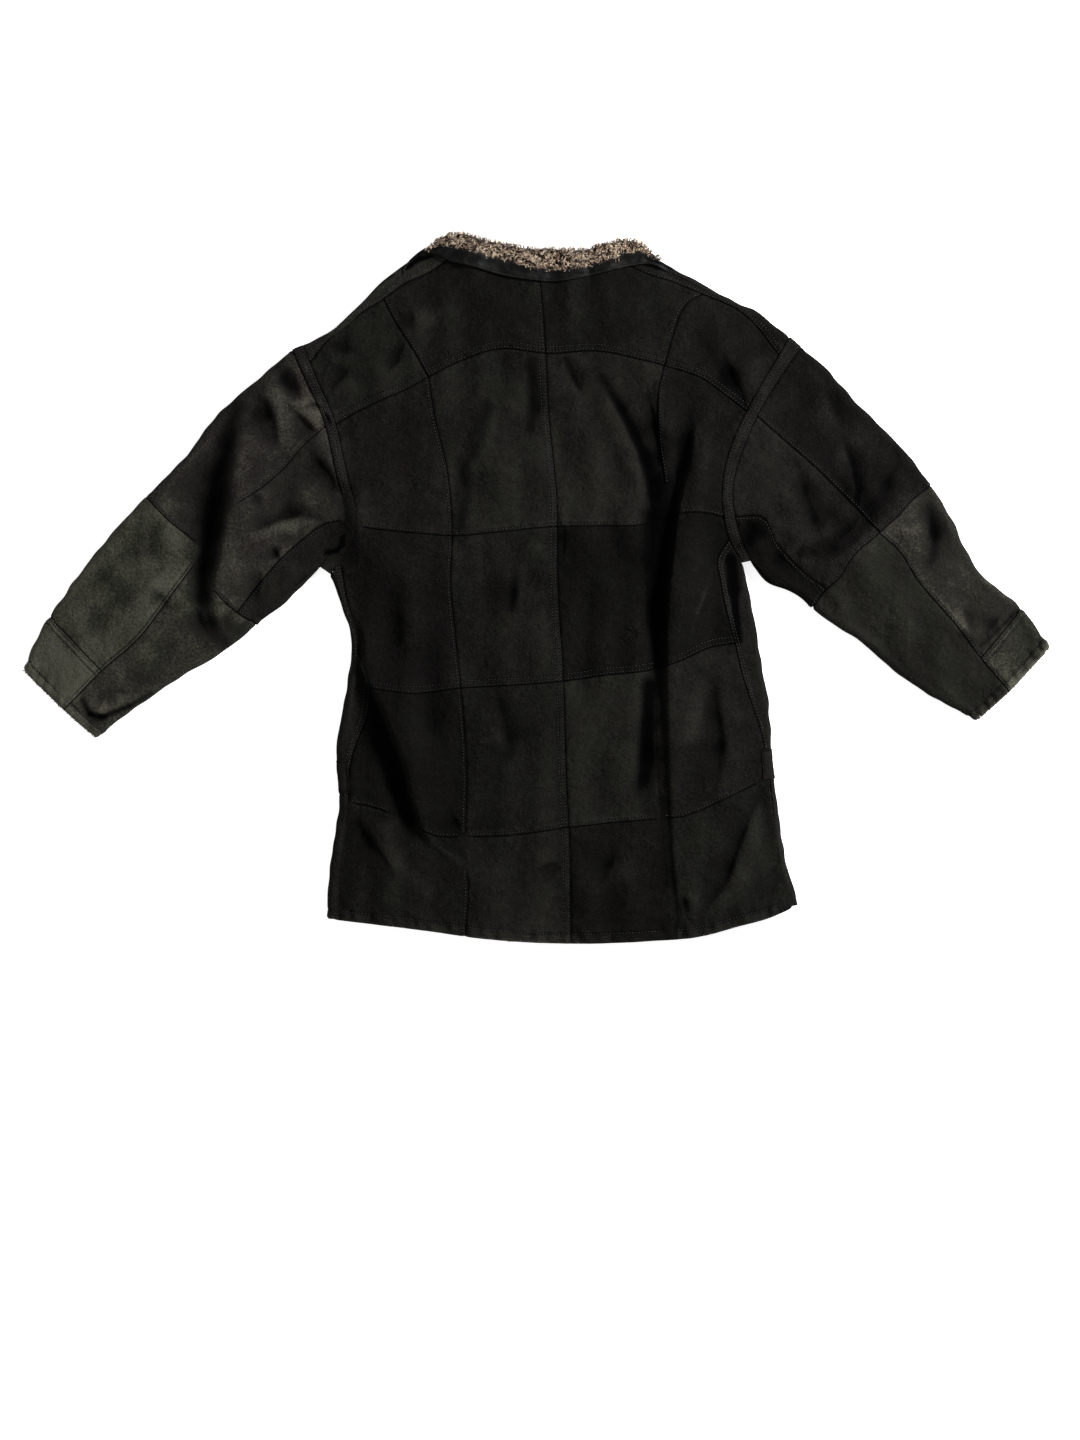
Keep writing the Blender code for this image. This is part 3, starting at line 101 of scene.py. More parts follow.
# -------------------- seam and edge lines, as x, y, x, y and on
LINES = {
    "upper_edge_left": [-173, 412, -194, 402, -220, 381, -258, 345, -284, 328, -313, 315, -365,
        273, -416, 229, -464, 167, -515, 116, -572, 53, -624, -17, -657, -70, -674, -109],
    "upper_edge_right": [179, 420, 216, 402, 242, 386, 290, 363, 323, 338, 349, 317, 375, 295,
        428, 238, 479, 187, 520, 136, 545, 96, 583, 22, 641, -29, 678, -80],
    "lower_edge_left": [-283, 26, -315, -8, -365, -49, -414, -88, -470, -121, -511, -149, -549,
        -176, -577, -200],
    "lower_edge_right": [283, 34, 304, 7, 340, -8, 375, -37, 428, -72, 485, -120, 545, -157, 582,
        -176],
    "body_edge_left": [-270, 17, -250, -38, -241, -74, -245, -111, -252, -155, -261, -205, -258,
        -288, -267, -346, -273, -406, -273, -437],
    "body_edge_right": [273, 32, 286, -26, 300, -111, 308, -157, 312, -223, 321, -300, 333, -373,
        345, -410, 346, -419],
    "cuff_left": [-674, -109, -658, -125, -619, -162, -577, -200],
    "cuff_right": [678, -80, 644, -116, 623, -138, 582, -176],
    "hem": [-273, -437, -211, -444, -144, -452, -74, -462, 47, -469, 146, -466, 215, -460, 273,
        -445, 307, -436, 346, -419],
    "back_seam_left": [-277, 209, -307, 182, -332, 153, -365, 125, -403, 99, -437, 46, -483, -18,
        -520, -67, -570, -111, -619, -162],
    "back_seam_right": [291, 224, 325, 194, 375, 150, 414, 111, 452, 71, 479, 46, 503, 8, 549,
        -46, 586, -94, 623, -138],
    "elbow_left": [-512, 119, -485, 91, -437, 46, -425, 4, -391, -34, -366, -50],
    "elbow_right": [521, 134, 499, 117, 478, 95, 452, 71, 417, 40, 396, 8, 383, -3, 366, -26],
    "under_seam_left": [-250, 88, -281, 80, -304, 63, -332, 38, -360, 7, -391, -34],
    "under_seam_right": [262, 92, 300, 90, 317, 58, 350, 22, 383, -3],
    "cuff_seam_left": [-639, -40, -570, -111],
    "cuff_seam_right": [641, -29, 586, -94],
    "front_seam_left": [-266, 174, -323, 95, -395, 16, -494, -76, -560, -140, -598, -182],
    "front_seam_right": [265, 158, 336, 68, 428, -4, 520, -80, 599, -161],
    "strap_body_left": [-306, 319, -288, 274, -262, 213, -253, 174, -245, 138, -237, 108, -237,
        72, -250, 45, -270, 17],
    "strap_body_right": [335, 328, 303, 274, 278, 230, 263, 198, 252, 165, 246, 128, 248, 92, 257,
        59, 273, 32],
    "strap_sleeve_left": [-319, 311, -302, 274, -275, 213, -266, 174, -258, 138, -250, 108, -250,
        75, -263, 51, -283, 26],
    "strap_sleeve_right": [350, 316, 316, 266, 291, 224, 278, 194, 265, 158, 259, 125, 262, 92,
        271, 62, 283, 34],
    "side_seam_left": [-257, 36, -245, -30, -234, -80, -217, -136, -220, -167, -236, -208, -244,
        -238, -246, -283, -253, -346, -258, -386, -258, -439],
    "side_seam_right": [255, 62, 240, 36, 244, 8, 250, -24, 263, -74, 274, -119, 288, -161, 301,
        -202, 306, -252, 311, -300, 322, -360, 332, -399, 334, -424],
    "shoulder_seam_left": [-112, 431, -146, 410, -170, 400, -199, 378, -229, 360, -253, 341, -273,
        324, -296, 295],
    "shoulder_seam_right": [121, 424, 149, 411, 184, 400, 220, 385, 245, 375, 266, 365, 290, 344,
        320, 305],
    "slant_left": [-199, 378, -184, 349, -157, 306, -140, 275],
    "slant_right": [220, 385, 202, 374, 179, 323, 170, 290],
    "column_left": [-140, 275, -133, 228, -116, 154, -109, 68, -111, 8, -104, -71, -95, -158, -90,
        -241, -91, -354, -88, -399, -92, -458],
    "centre_back": [5, 412, 11, 352, 14, 304, 18, 224, 28, 119, 30, -7, 37, -122, 41, -253, 45,
        -336, 47, -469],
    "column_right": [170, 290, 163, 261, 165, 173, 171, 128, 171, 88, 167, 30, 162, -63, 159,
        -149, 162, -259, 170, -346, 175, -407, 178, -464],
    "yoke_seam": [-262, 213, -217, 238, -170, 259, -140, 275, -100, 295, -47, 312, 14, 306, 84,
        309, 138, 298, 170, 290, 220, 273, 253, 249, 278, 230],
    "chest_seam": [-237, 80, -203, 75, -149, 70, -109, 67, -59, 71, 29, 79, 80, 80, 149, 84, 171,
        92, 217, 97, 248, 92],
    "waist_seam": [-217, -133, -158, -140, -97, -133, -26, -129, 37, -124, 86, -117, 162, -107,
        194, -96, 229, -80, 263, -74],
    "hip_seam": [-246, -283, -208, -291, -167, -309, -130, -327, -90, -328, -42, -327, 43, -316,
        86, -311, 165, -304, 190, -302, 242, -282, 273, -267, 306, -252],
    "neck_seam": [-112, 431, -86, 425, -46, 417, 5, 412, 53, 414, 92, 420, 121, 424],
    "collar_top": [-143, 449, -131, 459, -117, 467, -100, 469, -68, 461, -47, 457, -5, 449, 18,
        449, 58, 447, 84, 453, 117, 460, 138, 457, 153, 446, 169, 434],
    "collar_fur_edge": [-175, 412, -168, 425.5, -159.5, 434, -150, 441, -143, 445, -125, 448,
        -113, 447, -88, 440, -41, 428, 17, 415, 46, 415, 96, 427, 134, 440, 163, 428, 183, 418],
    "collar_free_edge": [-173.5, 408, -167, 423, -157, 431, -147.5, 436.5, -138, 437.5, -129,
        435.5, -115, 428, -83, 419, -24, 404, 33, 400, 84, 410, 129, 421, 149, 423, 177, 412],
    "front_shoulder_left": [-154, 381, -194, 362, -229, 332, -290, 278],
    "front_shoulder_right": [162, 389, 204, 374, 250, 349, 305, 278],
    "front_neck": [-154, 381, -86, 354, 4, 342, 94, 354, 162, 389],
}

# The largest folds, rows (where the upper layer's edge runs as [x, y, height, ...], its
# side, half the width of its steep wall, how far its rise fades out, the dip at its foot
# and that dip's width)
FOLDS = [
    # down the right of the back
    ([209, 219, 0, 201, 166, 6, 192, 130, 11, 185, 93, 16, 180, 55, 19, 175, 12, 19, 171, -32,
      18, 170, -90, 13, 171, -146, 7, 172, -188, 5, 176, -295, 4, 181, -377, 4, 186, -415, 3,
      191, -471, 1], -1, 3.0, 70, 5, 20),
    # down the left of the back
    ([-243, -35, 0, -238, -83, 10, -220, -128, 17, -196, -182, 20, -175, -236, 18, -161, -292,
      12, -144, -331, 6, -108, -362, 0], -1, 4.5, 60, 9, 28),
    # left elbow
    ([-392, 236, 0, -401, 199, 8, -410, 150, 14, -417, 90, 16, -424, 45, 14, -430, 5, 11, -428,
      -25, 5, -412, -62, 0], -1, 11, 60, 9, 36),
    # right elbow
    ([490, 200, 0, 464, 138, 5, 443, 104, 8, 414, 66, 8, 378, 43, 3, 350, 45, 0], 1, 5, 45, 7,
      22),
]

# Creases of the back and sleeves: rows ([x, y, x, y, ...], width, depth, lift, side of
# the lifted lip as the line is walked: 1 left, -1 right)
CREASES = [
    # left sleeve
    ([-389, 233, -389, 198, -395, 175, -402, 148, -407, 107, -416, 66, -424, 25, -431, -14, -427,
      -38, -412, -65], 13, 5, 1.5, 1),
    ([-373, 259, -357, 244, -345, 217, -342, 196, -349, 173], 9, 4.5, 2.5, 1),
    ([-333, 296, -321, 275, -311, 254, -304, 241], 7, 5, 2.5, 1),
    ([-335, 252, -319, 233, -306, 219, -292, 205, -281, 194], 7, 4.5, 2.5, 1),
    ([-315, 237, -304, 234, -295, 240, -279, 234], 2.6, 2.5, 1.5, 1),
    ([-279, 234, -273, 223, -266, 208], 3, 2.5, 1.5, 1),
    ([-302, 186, -286, 165, -270, 145, -259, 122], 9, 4.5, 2, 1),
    ([-379, 70, -365, 75, -350, 82, -331, 90, -313, 94, -299, 92, -286, 87, -278, 79], 5, 4.5,
      2.5, -1),
    ([-373, 122, -363, 115, -360, 104], 4, 2.5, 1, 1),
    ([-345, 55, -341, 46, -336, 34], 4, 3.5, 1.5, 1),
    ([-358, 28, -365, 3, -367, -22], 9, 3, 1, 1),
    ([-446, -22, -437, -50, -420, -72], 7, 3.5, 1.5, 1),
    ([-591, -153, -582, -170, -562, -173, -537, -161, -512, -148], 4.5, 4.5, 2, 1),
    ([-512, -4, -490, -14, -479, -33], 8, 2.5, 1, 1),
    # right sleeve
    ([404, 194, 417, 157, 424, 132, 424, 107], 5, 5.5, 3, -1),
    ([483, 183, 475, 159, 453, 128, 424, 91, 394, 62, 357, 50], 12, 6, 2.5, 1),
    ([516, 111, 525, 75, 522, 28], 9, 5, 2, -1),
    ([338, 170, 354, 128, 366, 88, 375, 62], 10, 4.5, 2, -1),
    ([381, 262, 394, 236, 404, 204], 10, 4, 2, -1),
    ([612, -38, 598, -55, 583, -74], 5, 3.5, 1.5, 1),
    ([561, -22, 569, -46, 578, -65], 6, 3.5, 1.5, -1),
    ([292, 86, 283, 71, 274, 58], 5, 4, 2, 1),
    ([315, 49, 325, 33, 341, 21], 6, 3, 2, 1),
    # shoulders and yokes
    ([-167, 370, -163, 352, -159, 332], 8, 2.5, 1.5, 1),
    ([-244, 284, -259, 270, -270, 252], 6, 4, 2.5, 1),
    ([-170, 323, -184, 296, -199, 275], 7, 3, 2, 1),
    ([-273, 320, -253, 311, -229, 308], 5, 2.5, 1, -1),
    ([246, 309, 257, 281, 271, 252, 278, 236], 9, 6, 2.5, 1),
    # back
    ([-9, 292, -4, 257, -3, 213], 8, 3, 1.5, -1),
    ([-71, 220, -74, 192, -87, 170, -95, 158, -92, 125, -99, 88, -101, 59, -108, 38], 7, 3.5, 2,
      -1),
    ([-25, 14, -28, -7, -30, -36], 8, 3, 1.5, 1),
    ([-51, -136, -42, -162, -34, -191, -29, -224], 7, 4, 2, -1),
    ([-9, -375, 12, -369, 33, -361], 5, 2, 1, 1),
    ([-113, -288, -105, -307, -97, -324], 5, 2.5, 1, 1),
    ([-241, -294, -225, -323, -199, -356, -183, -386], 7, 4, 2.5, 1),
    ([-151, -328, -125, -344, -103, -356, -83, -367], 6, -2.0, 0.4, 1),
    ([40, 304, 42, 287, 51, 271, 63, 252], 6, 3, 1.5, -1),
    ([80, 284, 91, 265, 109, 233, 129, 196, 141, 165, 148, 132, 150, 94], 6, 6, 3, -1),
    ([145, 267, 151, 240, 159, 207, 163, 174, 159, 144], 6, 4.5, 2, 1),
    ([208, 225, 202, 196, 199, 165, 194, 141], 7, 4, 1, 1),
    ([108, -341, 95, -369, 83, -396], 7, 3, 1.5, 1),
    ([236, 29, 221, -12, 202, -70], 5, -1.2, 0.4, 1),
    ([138, -112, 144, -149, 142, -202, 140, -248, 133, -281], 8, 7, 1.5, -1),
    ([299, -265, 286, -294, 271, -328, 259, -362, 250, -386, 236, -406, 213, -436], 6, 5, 3, 1),
    ([238, -116, 236, -149, 244, -202, 238, -267], 9, 5, 2.5, 1),
    ([194, -403, 198, -416, 202, -432], 4, 4, 2, 1),
    ([-184, -17, -178, -50, -180, -83], 7, 2, 1, 1),
    ([33, 88, 37, 55, 33, 22], 9, 2.5, 1, 1),
]

# Creases pressed into the fronts and the sleeves' undersides: the same without a lift
HIDDEN_CREASES = [
    ([-210, 120, -170, 60, -150, -20, -158, -90], 8, 2.6, 1),
    ([-120, 250, -95, 190, -90, 120], 7, 2.2, -1),
    ([-225, -150, -190, -200, -175, -270], 7, 2.4, 1),
    ([-110, -300, -60, -320, 0, -310], 6, 2.0, 1),
    ([-200, -380, -150, -395, -90, -390], 6, 1.8, -1),
    ([210, 140, 180, 70, 190, 0], 8, 2.8, -1),
    ([120, 260, 110, 200, 130, 140], 7, 2.2, 1),
    ([260, -120, 220, -190, 205, -260], 7, 2.4, -1),
    ([90, -60, 110, -140, 100, -210], 6, 2.0, 1),
    ([120, -360, 180, -380, 250, -370], 6, 1.9, 1),
    ([-370, 180, -385, 120, -395, 60], 8, 2.8, 1),
    ([-430, 120, -440, 60, -470, 0], 7, 2.4, -1),
    ([-340, 60, -365, 20, -400, -10], 6, 2.2, 1),
    ([-540, 10, -560, -40, -600, -80], 6, 2.0, 1),
    ([370, 190, 395, 130, 400, 70], 8, 2.8, -1),
    ([440, 110, 450, 50, 480, 0], 7, 2.4, 1),
    ([350, 60, 380, 20, 420, -20], 6, 2.2, -1),
    ([540, 20, 570, -40, 610, -70], 6, 2.0, -1),
]

# The right front's lap over the left one, rows (x, height, its direction: x, z)
LAP = [
    (STEP_FOOT_X - 4, 1.0, 0.45, -0.89), (STEP_TOP_X + 3, 5.5, 0.75, -0.66),
    (STEP_TOP_X - 3, 7.8, 0.3, -0.95), (0.0, 7.8, 0.0, -1.0), (UNDERLAP_X, 7.8, 0.0, -1.0),
]

COLLAR_ENDS = {
    "left": {"fur": (-146, 443), "stand": (-140.0, 425.5), "leaf": (-169.0, 424.0)},
    "right": {"fur": (163, 428), "stand": (160.0, 420.5), "leaf": (172.0, 424.0)},
}
LEAF_TOP_Y = 440.0
LEAF_RISE = 4.6  # over the ground
BAND_ENDS = {  # the shoulder bands' ends below the collar, from the neck seam out
    "left": [(-128, 438), (-138, 440), (-149, 438.5), (-158.5, 432.5), (-167, 424), (-172, 412)],
    "right": [(136, 425.5), (151, 424.5), (166, 420), (175, 413)],
}
STRIP_CELL = 2.4  # cells across the narrow strips that show beside a rolled edge
FRONT_CELLS = (3.4, 6.0, 7.0)  # along the side, on the chest, across the hidden middle
WELTS = {"left": (-228, -272), "right": (-212, -252)}

# Stretches where a seam can't be made out, rows (x, y, x, y, reach)
HUSHED = [
    (145, 92, 180, 98, 7), (-249, 108, -241, 78, 9), (-241, 78, -256, 42, 13),
    (-182, -301, -165, -312, 8), (-247, -290, -259, -425, 8), (308, -262, 335, -415, 14),
    (171, 128, 167, 30, 4), (167, 30, 159, -149, 4), (159, -149, 162, -259, 4),
    (162, -259, 178, -464, 4), (-93, -334, -92, -360, 8), (-405, 98, -428, 48, 17),
    (-437, 46, -428, 8, 14),
]

# Places painted darker (-) or lighter (+) into the nap, rows (x, y, x, y, reach, how much):
# the dark ones are mostly painted shade and painted shadow along folds and creases, in
# clefts, at the armpits and under the collar's end; the light ones are partly rubbed nap
# and partly painted highlights
PAINTED_LIGHT_AND_WEAR = [
    (-391, 236, -407, 191, 12, -0.36), (-408, 180, -421, 148, 15, -0.2),
    (-425, 138, -427, 107, 17, -0.22), (-428, 96, -432, 66, 14, -0.22),
    (-433, 58, -437, 25, 11, -0.24), (-437, 18, -439, -16, 9, -0.24),
    (-439, -16, -425, -46, 9, -0.3), (-425, -46, -404, -80, 8, -0.26),
    (-404, -46, -378, -67, 9, -0.16), (-365, 252, -352, 194, 12, -0.18),
    (-337, 290, -316, 252, 8, -0.26), (-294, 186, -262, 137, 11, -0.24),
    (-253, 125, -245, 46, 13, -0.22), (-341, 41, -336, 51, 4, -0.2),
    (-274, 45, -261, 47, 2.6, -0.9), (-261, 47, -253, 55, 2.6, -0.9),
    (-253, 55, -252, 65, 2.4, -0.9), (-594, -149, -585, -167, 2.8, -0.5),
    (-585, -167, -568, -171, 2.8, -0.6), (-568, -171, -533, -157, 2.6, -0.5),
    (-533, -157, -504, -140, 2.4, -0.4), (-577, -149, -568, -157, 7, 0.12),
    (-494, 78, -498, 46, 10, -0.12), (-557, 9, -544, -7, 14, -0.1),
    (-452, 36, -468, -17, 9, 0.06), (-146, 354, -141, 348, 13, 0.14),
    (-204, -341, -141, -402, 9, 0.16), (-253, -373, -246, -419, 9, -0.08),
    (-211, -169, -200, -204, 5, -0.35), (-203, -204, -186, -257, 10, -0.6),
    (-184, -257, -165, -309, 8, -0.6), (-230, -304, -212, -340, 5, -0.05),
    (-250, -281, -215, -288, 6, 0.08), (170, 194, 166, 141, 8, -0.26),
    (166, 136, 162, 95, 12, -0.7), (161, 86, 159, 36, 14, -1.1), (159, 28, 161, -43, 12, -0.8),
    (158, -51, 162, -100, 9, -0.45), (151, -128, 146, -195, 9, -0.6),
    (146, -207, 142, -252, 9, -0.5), (140, -261, 151, -296, 12, -0.2),
    (170, -281, 174, -386, 10, -0.3), (220, -136, 202, -202, 11, 0.16),
    (244, -136, 246, -241, 10, -0.06), (88, 273, 115, 232, 5, -0.3),
    (115, 232, 144, 170, 6, -0.4), (146, 170, 158, 121, 8, -0.45), (41, 299, 59, 259, 2.4, -0.35),
    (-4, 296, -5, 207, 6, -0.26), (158, 266, 161, 194, 3, -0.3), (202, 227, 196, 154, 9, -0.16),
    (-63, 236, -86, 180, 8, -0.24), (-96, 165, -103, 68, 8, -0.24), (-50, 220, -68, 165, 6, 0.1),
    (-78, 154, -80, 88, 6, 0.08), (-125, 154, -119, 88, 9, 0.07), (-26, 154, -20, 75, 10, 0.05),
    (-26, 11, -30, -30, 5, -0.3), (-78, 59, -70, 13, 8, 0.12), (1, 55, -17, 11, 9, 0.12),
    (97, 70, 104, 43, 5, 0.14), (-46, -149, -32, -221, 5, -0.26), (477, 178, 466, 136, 10, -0.15),
    (464, 128, 441, 94, 13, -0.3), (433, 83, 394, 53, 13, -0.34), (391, 50, 352, 46, 9, -0.22),
    (419, 148, 424, 128, 2.4, -0.7), (424, 128, 423, 107, 2.4, -0.7),
    (410, 157, 415, 115, 8, -0.2), (349, 128, 365, 88, 12, -0.26), (516, 103, 524, 70, 9, -0.34),
    (524, 70, 520, 33, 8, -0.26), (585, -78, 633, -33, 3, -0.3), (562, -62, 576, -72, 7, -0.26),
    (593, 11, 631, -20, 7, 0.1), (217, 332, 277, 236, 8, -0.2), (258, 36, 261, -4, 6, -1.6),
    (261, -4, 267, -70, 3.6, -1.6), (273, 55, 296, 71, 8, -0.5), (238, 28, 225, -4, 3.5, 0.07),
    (224, -7, 213, -33, 3, 0.14), (215, -38, 202, -72, 3.5, 0.05), (217, 36, 204, -4, 12, 0.05),
    (-138, 434, -153, 430, 2.6, -0.9), (-151, 432, -169, 419, 3.0, -0.9),
]

# How light and how warm each pelt is, 0 to 1: the left one's two values, the right one's
PAIRED_TONES = {
    "back_outer_{}_chest": (0.32, 0.58, 0.25, 0.65),
    "back_inner_{}_chest": (0.42, 0.28, 0.41, 0.45),
    "back_outer_{}_waist": (0.25, 0.75, 0.05, 0.36),
    "back_inner_{}_waist": (0.34, 0.40, 0.11, 0.50),
    "back_outer_{}_hip": (0.16, 0.36, 0.29, 0.51),
    "back_inner_{}_hip": (0.33, 0.28, 0.42, 0.18),
    "back_outer_{}_hem": (0.31, 0.28, 0.30, 0.09),
    "back_inner_{}_hem": (0.39, 0.38, 0.20, 0.50),
    "yoke_centre_{}": (0.26, 0.45, 0.27, 0.38),
    "yoke_outer_{}": (0.38, 0.18, 0.28, 0.60),
    "shoulder_band_{}": (0.61, 0.30, 0.30, 0.44),
    "top_sleeve_{}": (0.63, 0.72, 0.29, 0.72),
    "forearm_{}": (0.82, 0.00, 0.63, 0.35),
    "back_sleeve_{}": (0.64, 0.52, 0.45, 0.67),
    "under_forearm_{}": (0.69, 0.32, 0.50, 0.22),
    "under_sleeve_{}": (0.35, 0.50, 0.11, 0.50),
    "cuff_{}": (0.95, 0.00, 0.72, 0.06),
}
TONES = {
    name.format(side): row[2 * k:2 * k + 2]
    for name, row in PAIRED_TONES.items() for k, side in enumerate(SIDES)
}
PLAIN_TONE = (0.40, 0.45)


# -------------------- lines in plan
def smooth(rows, step=2.0):
    """A line's rows joined by a smooth curve: cubic Hermite pieces on chord lengths,
    each inner tangent the mean of its two slopes weighted by the other one's length."""
    p = np.array(rows, float)
    gap = np.linalg.norm(np.diff(p[:, :2], axis=0), axis=1)
    knot = np.concatenate([[0], np.cumsum(gap)])
    slope = np.diff(p, axis=0) / gap[:, None]
    tangent = np.concatenate([slope[:1], np.zeros((len(p) - 2, p.shape[1])), slope[-1:]])
    before, after = gap[:-1, None], gap[1:, None]
    tangent[1:-1] = (slope[:-1] * after + slope[1:] * before) / (before + after)
    t = np.linspace(0, knot[-1], int(knot[-1] / step) + 2)
    k = np.clip(np.searchsorted(knot, t, side="right") - 1, 0, len(gap) - 1)
    s = ((t - knot[k]) / gap[k])[:, None]
    h = gap[k][:, None]
    return (
        (2 * s**3 - 3 * s**2 + 1) * p[k]
        + (s**3 - 2 * s**2 + s) * h * tangent[k]
        + (3 * s**2 - 2 * s**3) * p[k + 1]
        + (s**3 - s**2) * h * tangent[k + 1]
    )


CURVES = {name: smooth(np.reshape(rows, (-1, 2))) for name, rows in LINES.items()}


def meeting(first, second):
    """The point where two lines cross or come nearest to each other."""
    a, b = CURVES[first], CURVES[second]
    away = np.linalg.norm(a[:, None] - b[None], axis=2)
    i, j = np.unravel_index(np.argmin(away), away.shape)
    return (a[i] + b[j]) / 2


def nearest(name, point):
    """The point of a line that is nearest to a given one."""
    line = CURVES[name]
    return line[np.argmin(np.linalg.norm(line - np.asarray(point), axis=1))]


def stretch(name, start, end):
    """The part of a line between two points near it, ending exactly at them."""
    line = CURVES[name]
    i, j = (int(np.argmin(np.linalg.norm(line - p, axis=1))) for p in (start, end))
    part = line[i:j + 1] if i <= j else line[j:i + 1][::-1]
    inner = [p for p in part if min(np.linalg.norm(p - start), np.linalg.norm(p - end)) > 3]
    return np.array([start, *inner, end])


def length_of(line):
    """Arc length at each point of a line."""
    step = np.linalg.norm(np.diff(line, axis=0), axis=1)
    return np.concatenate([[0], np.cumsum(step)])


def longest(*lines):
    """The length of the longest of some lines."""
    return max(length_of(line)[-1] for line in lines)


def read_off(at, along, rows):
    """Rows of values held along a line, read at other places along it."""
    return np.stack([np.interp(at, along, column) for column in rows.T], axis=1)


def divided(line, shares):
    """The points of a line at given shares of its length."""
    along = length_of(line)
    return read_off(np.asarray(shares) * along[-1], along, line)


def spaced(length, cell, start=True, end=True):
    """Shares of a length: cells of one size, closer at the ends that are seams."""
    steps = np.array(EDGE_STEPS)
    if length < 3.2 * steps[-1]:
        count = max(int(round(length / 1.6)), 3)
        return np.linspace(0, 1, count + 1)
    low = steps if start else steps[:1]
    high = steps if end else steps[:1]
    count = max(int(round((length - low[-1] - high[-1]) / cell)), 2)
    middle = np.linspace(low[-1], length - high[-1], count + 1)
    return np.concatenate([low[:-1], middle, length - high[::-1][1:]]) / length


def joined(*parts):
    """Stretches of lines (name, start, end) end to end as one line."""
    rows = [stretch(*part) for part in parts]
    return np.concatenate([rows[0], *[row[1:] for row in rows[1:]]])


def bilinear(s, t, a, b, c, d):
    """Between four corners: s goes from a to b and from c to d, t from a to c."""
    return (1 - s) * (1 - t) * a + s * (1 - t) * b + (1 - s) * t * c + s * t * d


def filled(first, last, left, right, u, v):
    """A grid inside four lines (a Coons patch): the two ruled grids added, less the
    bilinear grid of the corners; u are the shares along rows and v along columns."""
    first, last = divided(first, u), divided(last, u)
    left, right = divided(left, v), divided(right, v)
    u, v = np.asarray(u)[None, :, None], np.asarray(v)[:, None, None]
    corners = bilinear(u, v, first[0], first[-1], last[0], last[-1])
    return (
        (1 - v) * first[None] + v * last[None] + (1 - u) * left[:, None]
        + u * right[:, None] - corners
    )


# -------------------- the relief
def soft_step(t):
    t = np.clip(t, 0, 1)
    return t * t * (3 - 2 * t)


def bell(away, width):
    """1 in the middle, falling off softly within about a width on both sides."""
    return np.exp(-((away / width) ** 2))


def unit(directions):
    """The same directions with a length of 1."""
    size = np.linalg.norm(directions, axis=-1, keepdims=True)
    return directions / np.maximum(size, 1e-6)


def facing(shape, z):
    """The same upright direction at each place of a grid: z is 1 for up, -1 for down."""
    return np.zeros((*shape[:2], 3)) + (0.0, 0.0, z)


def swept(outward, turn):
    """Directions that turn from straight up to outward and on down, a row for each
    outward direction and a column for each angle."""
    across = np.sin(turn)[None, :, None] * outward[:, None]
    up = np.broadcast_to(np.cos(turn)[None, :, None], (len(outward), len(turn), 1))
    return np.concatenate([across, up], axis=2)


def from_line(point, line):
    """Signed distance of points to a line, left of it positive, and the row it is at."""
    best = np.full(len(point), np.inf)
    signed = np.zeros(len(point))
    value = np.zeros(len(point))
    for a, b in zip(line[:-1], line[1:]):
        along = b[:2] - a[:2]
        t = np.clip(((point - a[:2]) @ along) / (along @ along), 0, 1)
        rest = point - a[:2] - t[:, None] * along
        away = np.linalg.norm(rest, axis=1)
        near = away < best
        cross = along[0] * rest[:, 1] - along[1] * rest[:, 0]
        best[near] = away[near]
        signed[near] = (np.sign(cross) * away)[near]
        value[near] = (a[-1] + t * (b[-1] - a[-1]))[near]
    return signed, value


def waves(x, y, size, seed, count=14):
    """Soft irregular noise, about -1 to 1: plane waves of random direction and phase,
    with lengths spread about a given size."""
    random = np.random.default_rng(seed)
    turn = random.uniform(0, 2 * math.pi, count)
    phase = random.uniform(0, 2 * math.pi, count)
    reach = 2 * math.pi / (size * random.uniform(0.7, 1.6, count))
    total = 0.0
    for a, start, rate in zip(turn, phase, reach):
        total = total + np.sin((x * math.cos(a) + y * math.sin(a)) * rate + start)
    return total / math.sqrt(count / 2) / 1.6


def to_stretch(x, y, row):
    """How far points lie from a straight stretch x, y, x, y."""
    x0, y0, x1, y1 = row
    across = (x1 - x0, y1 - y0)
    t = ((x - x0) * across[0] + (y - y0) * across[1]) / (across[0] ** 2 + across[1] ** 2)
    t = np.clip(t, 0, 1)
    return np.hypot(x - x0 - t * across[0], y - y0 - t * across[1])


def seam_shows(points):
    """1 where a seam can be made out, 0 where it is hushed."""
    x, y = points[..., 0], points[..., 1]
    shows = np.ones_like(x)
    for row in HUSHED:
        shows = np.minimum(shows, soft_step((to_stretch(x, y, row[:4]) - row[4]) / 7))
    return shows


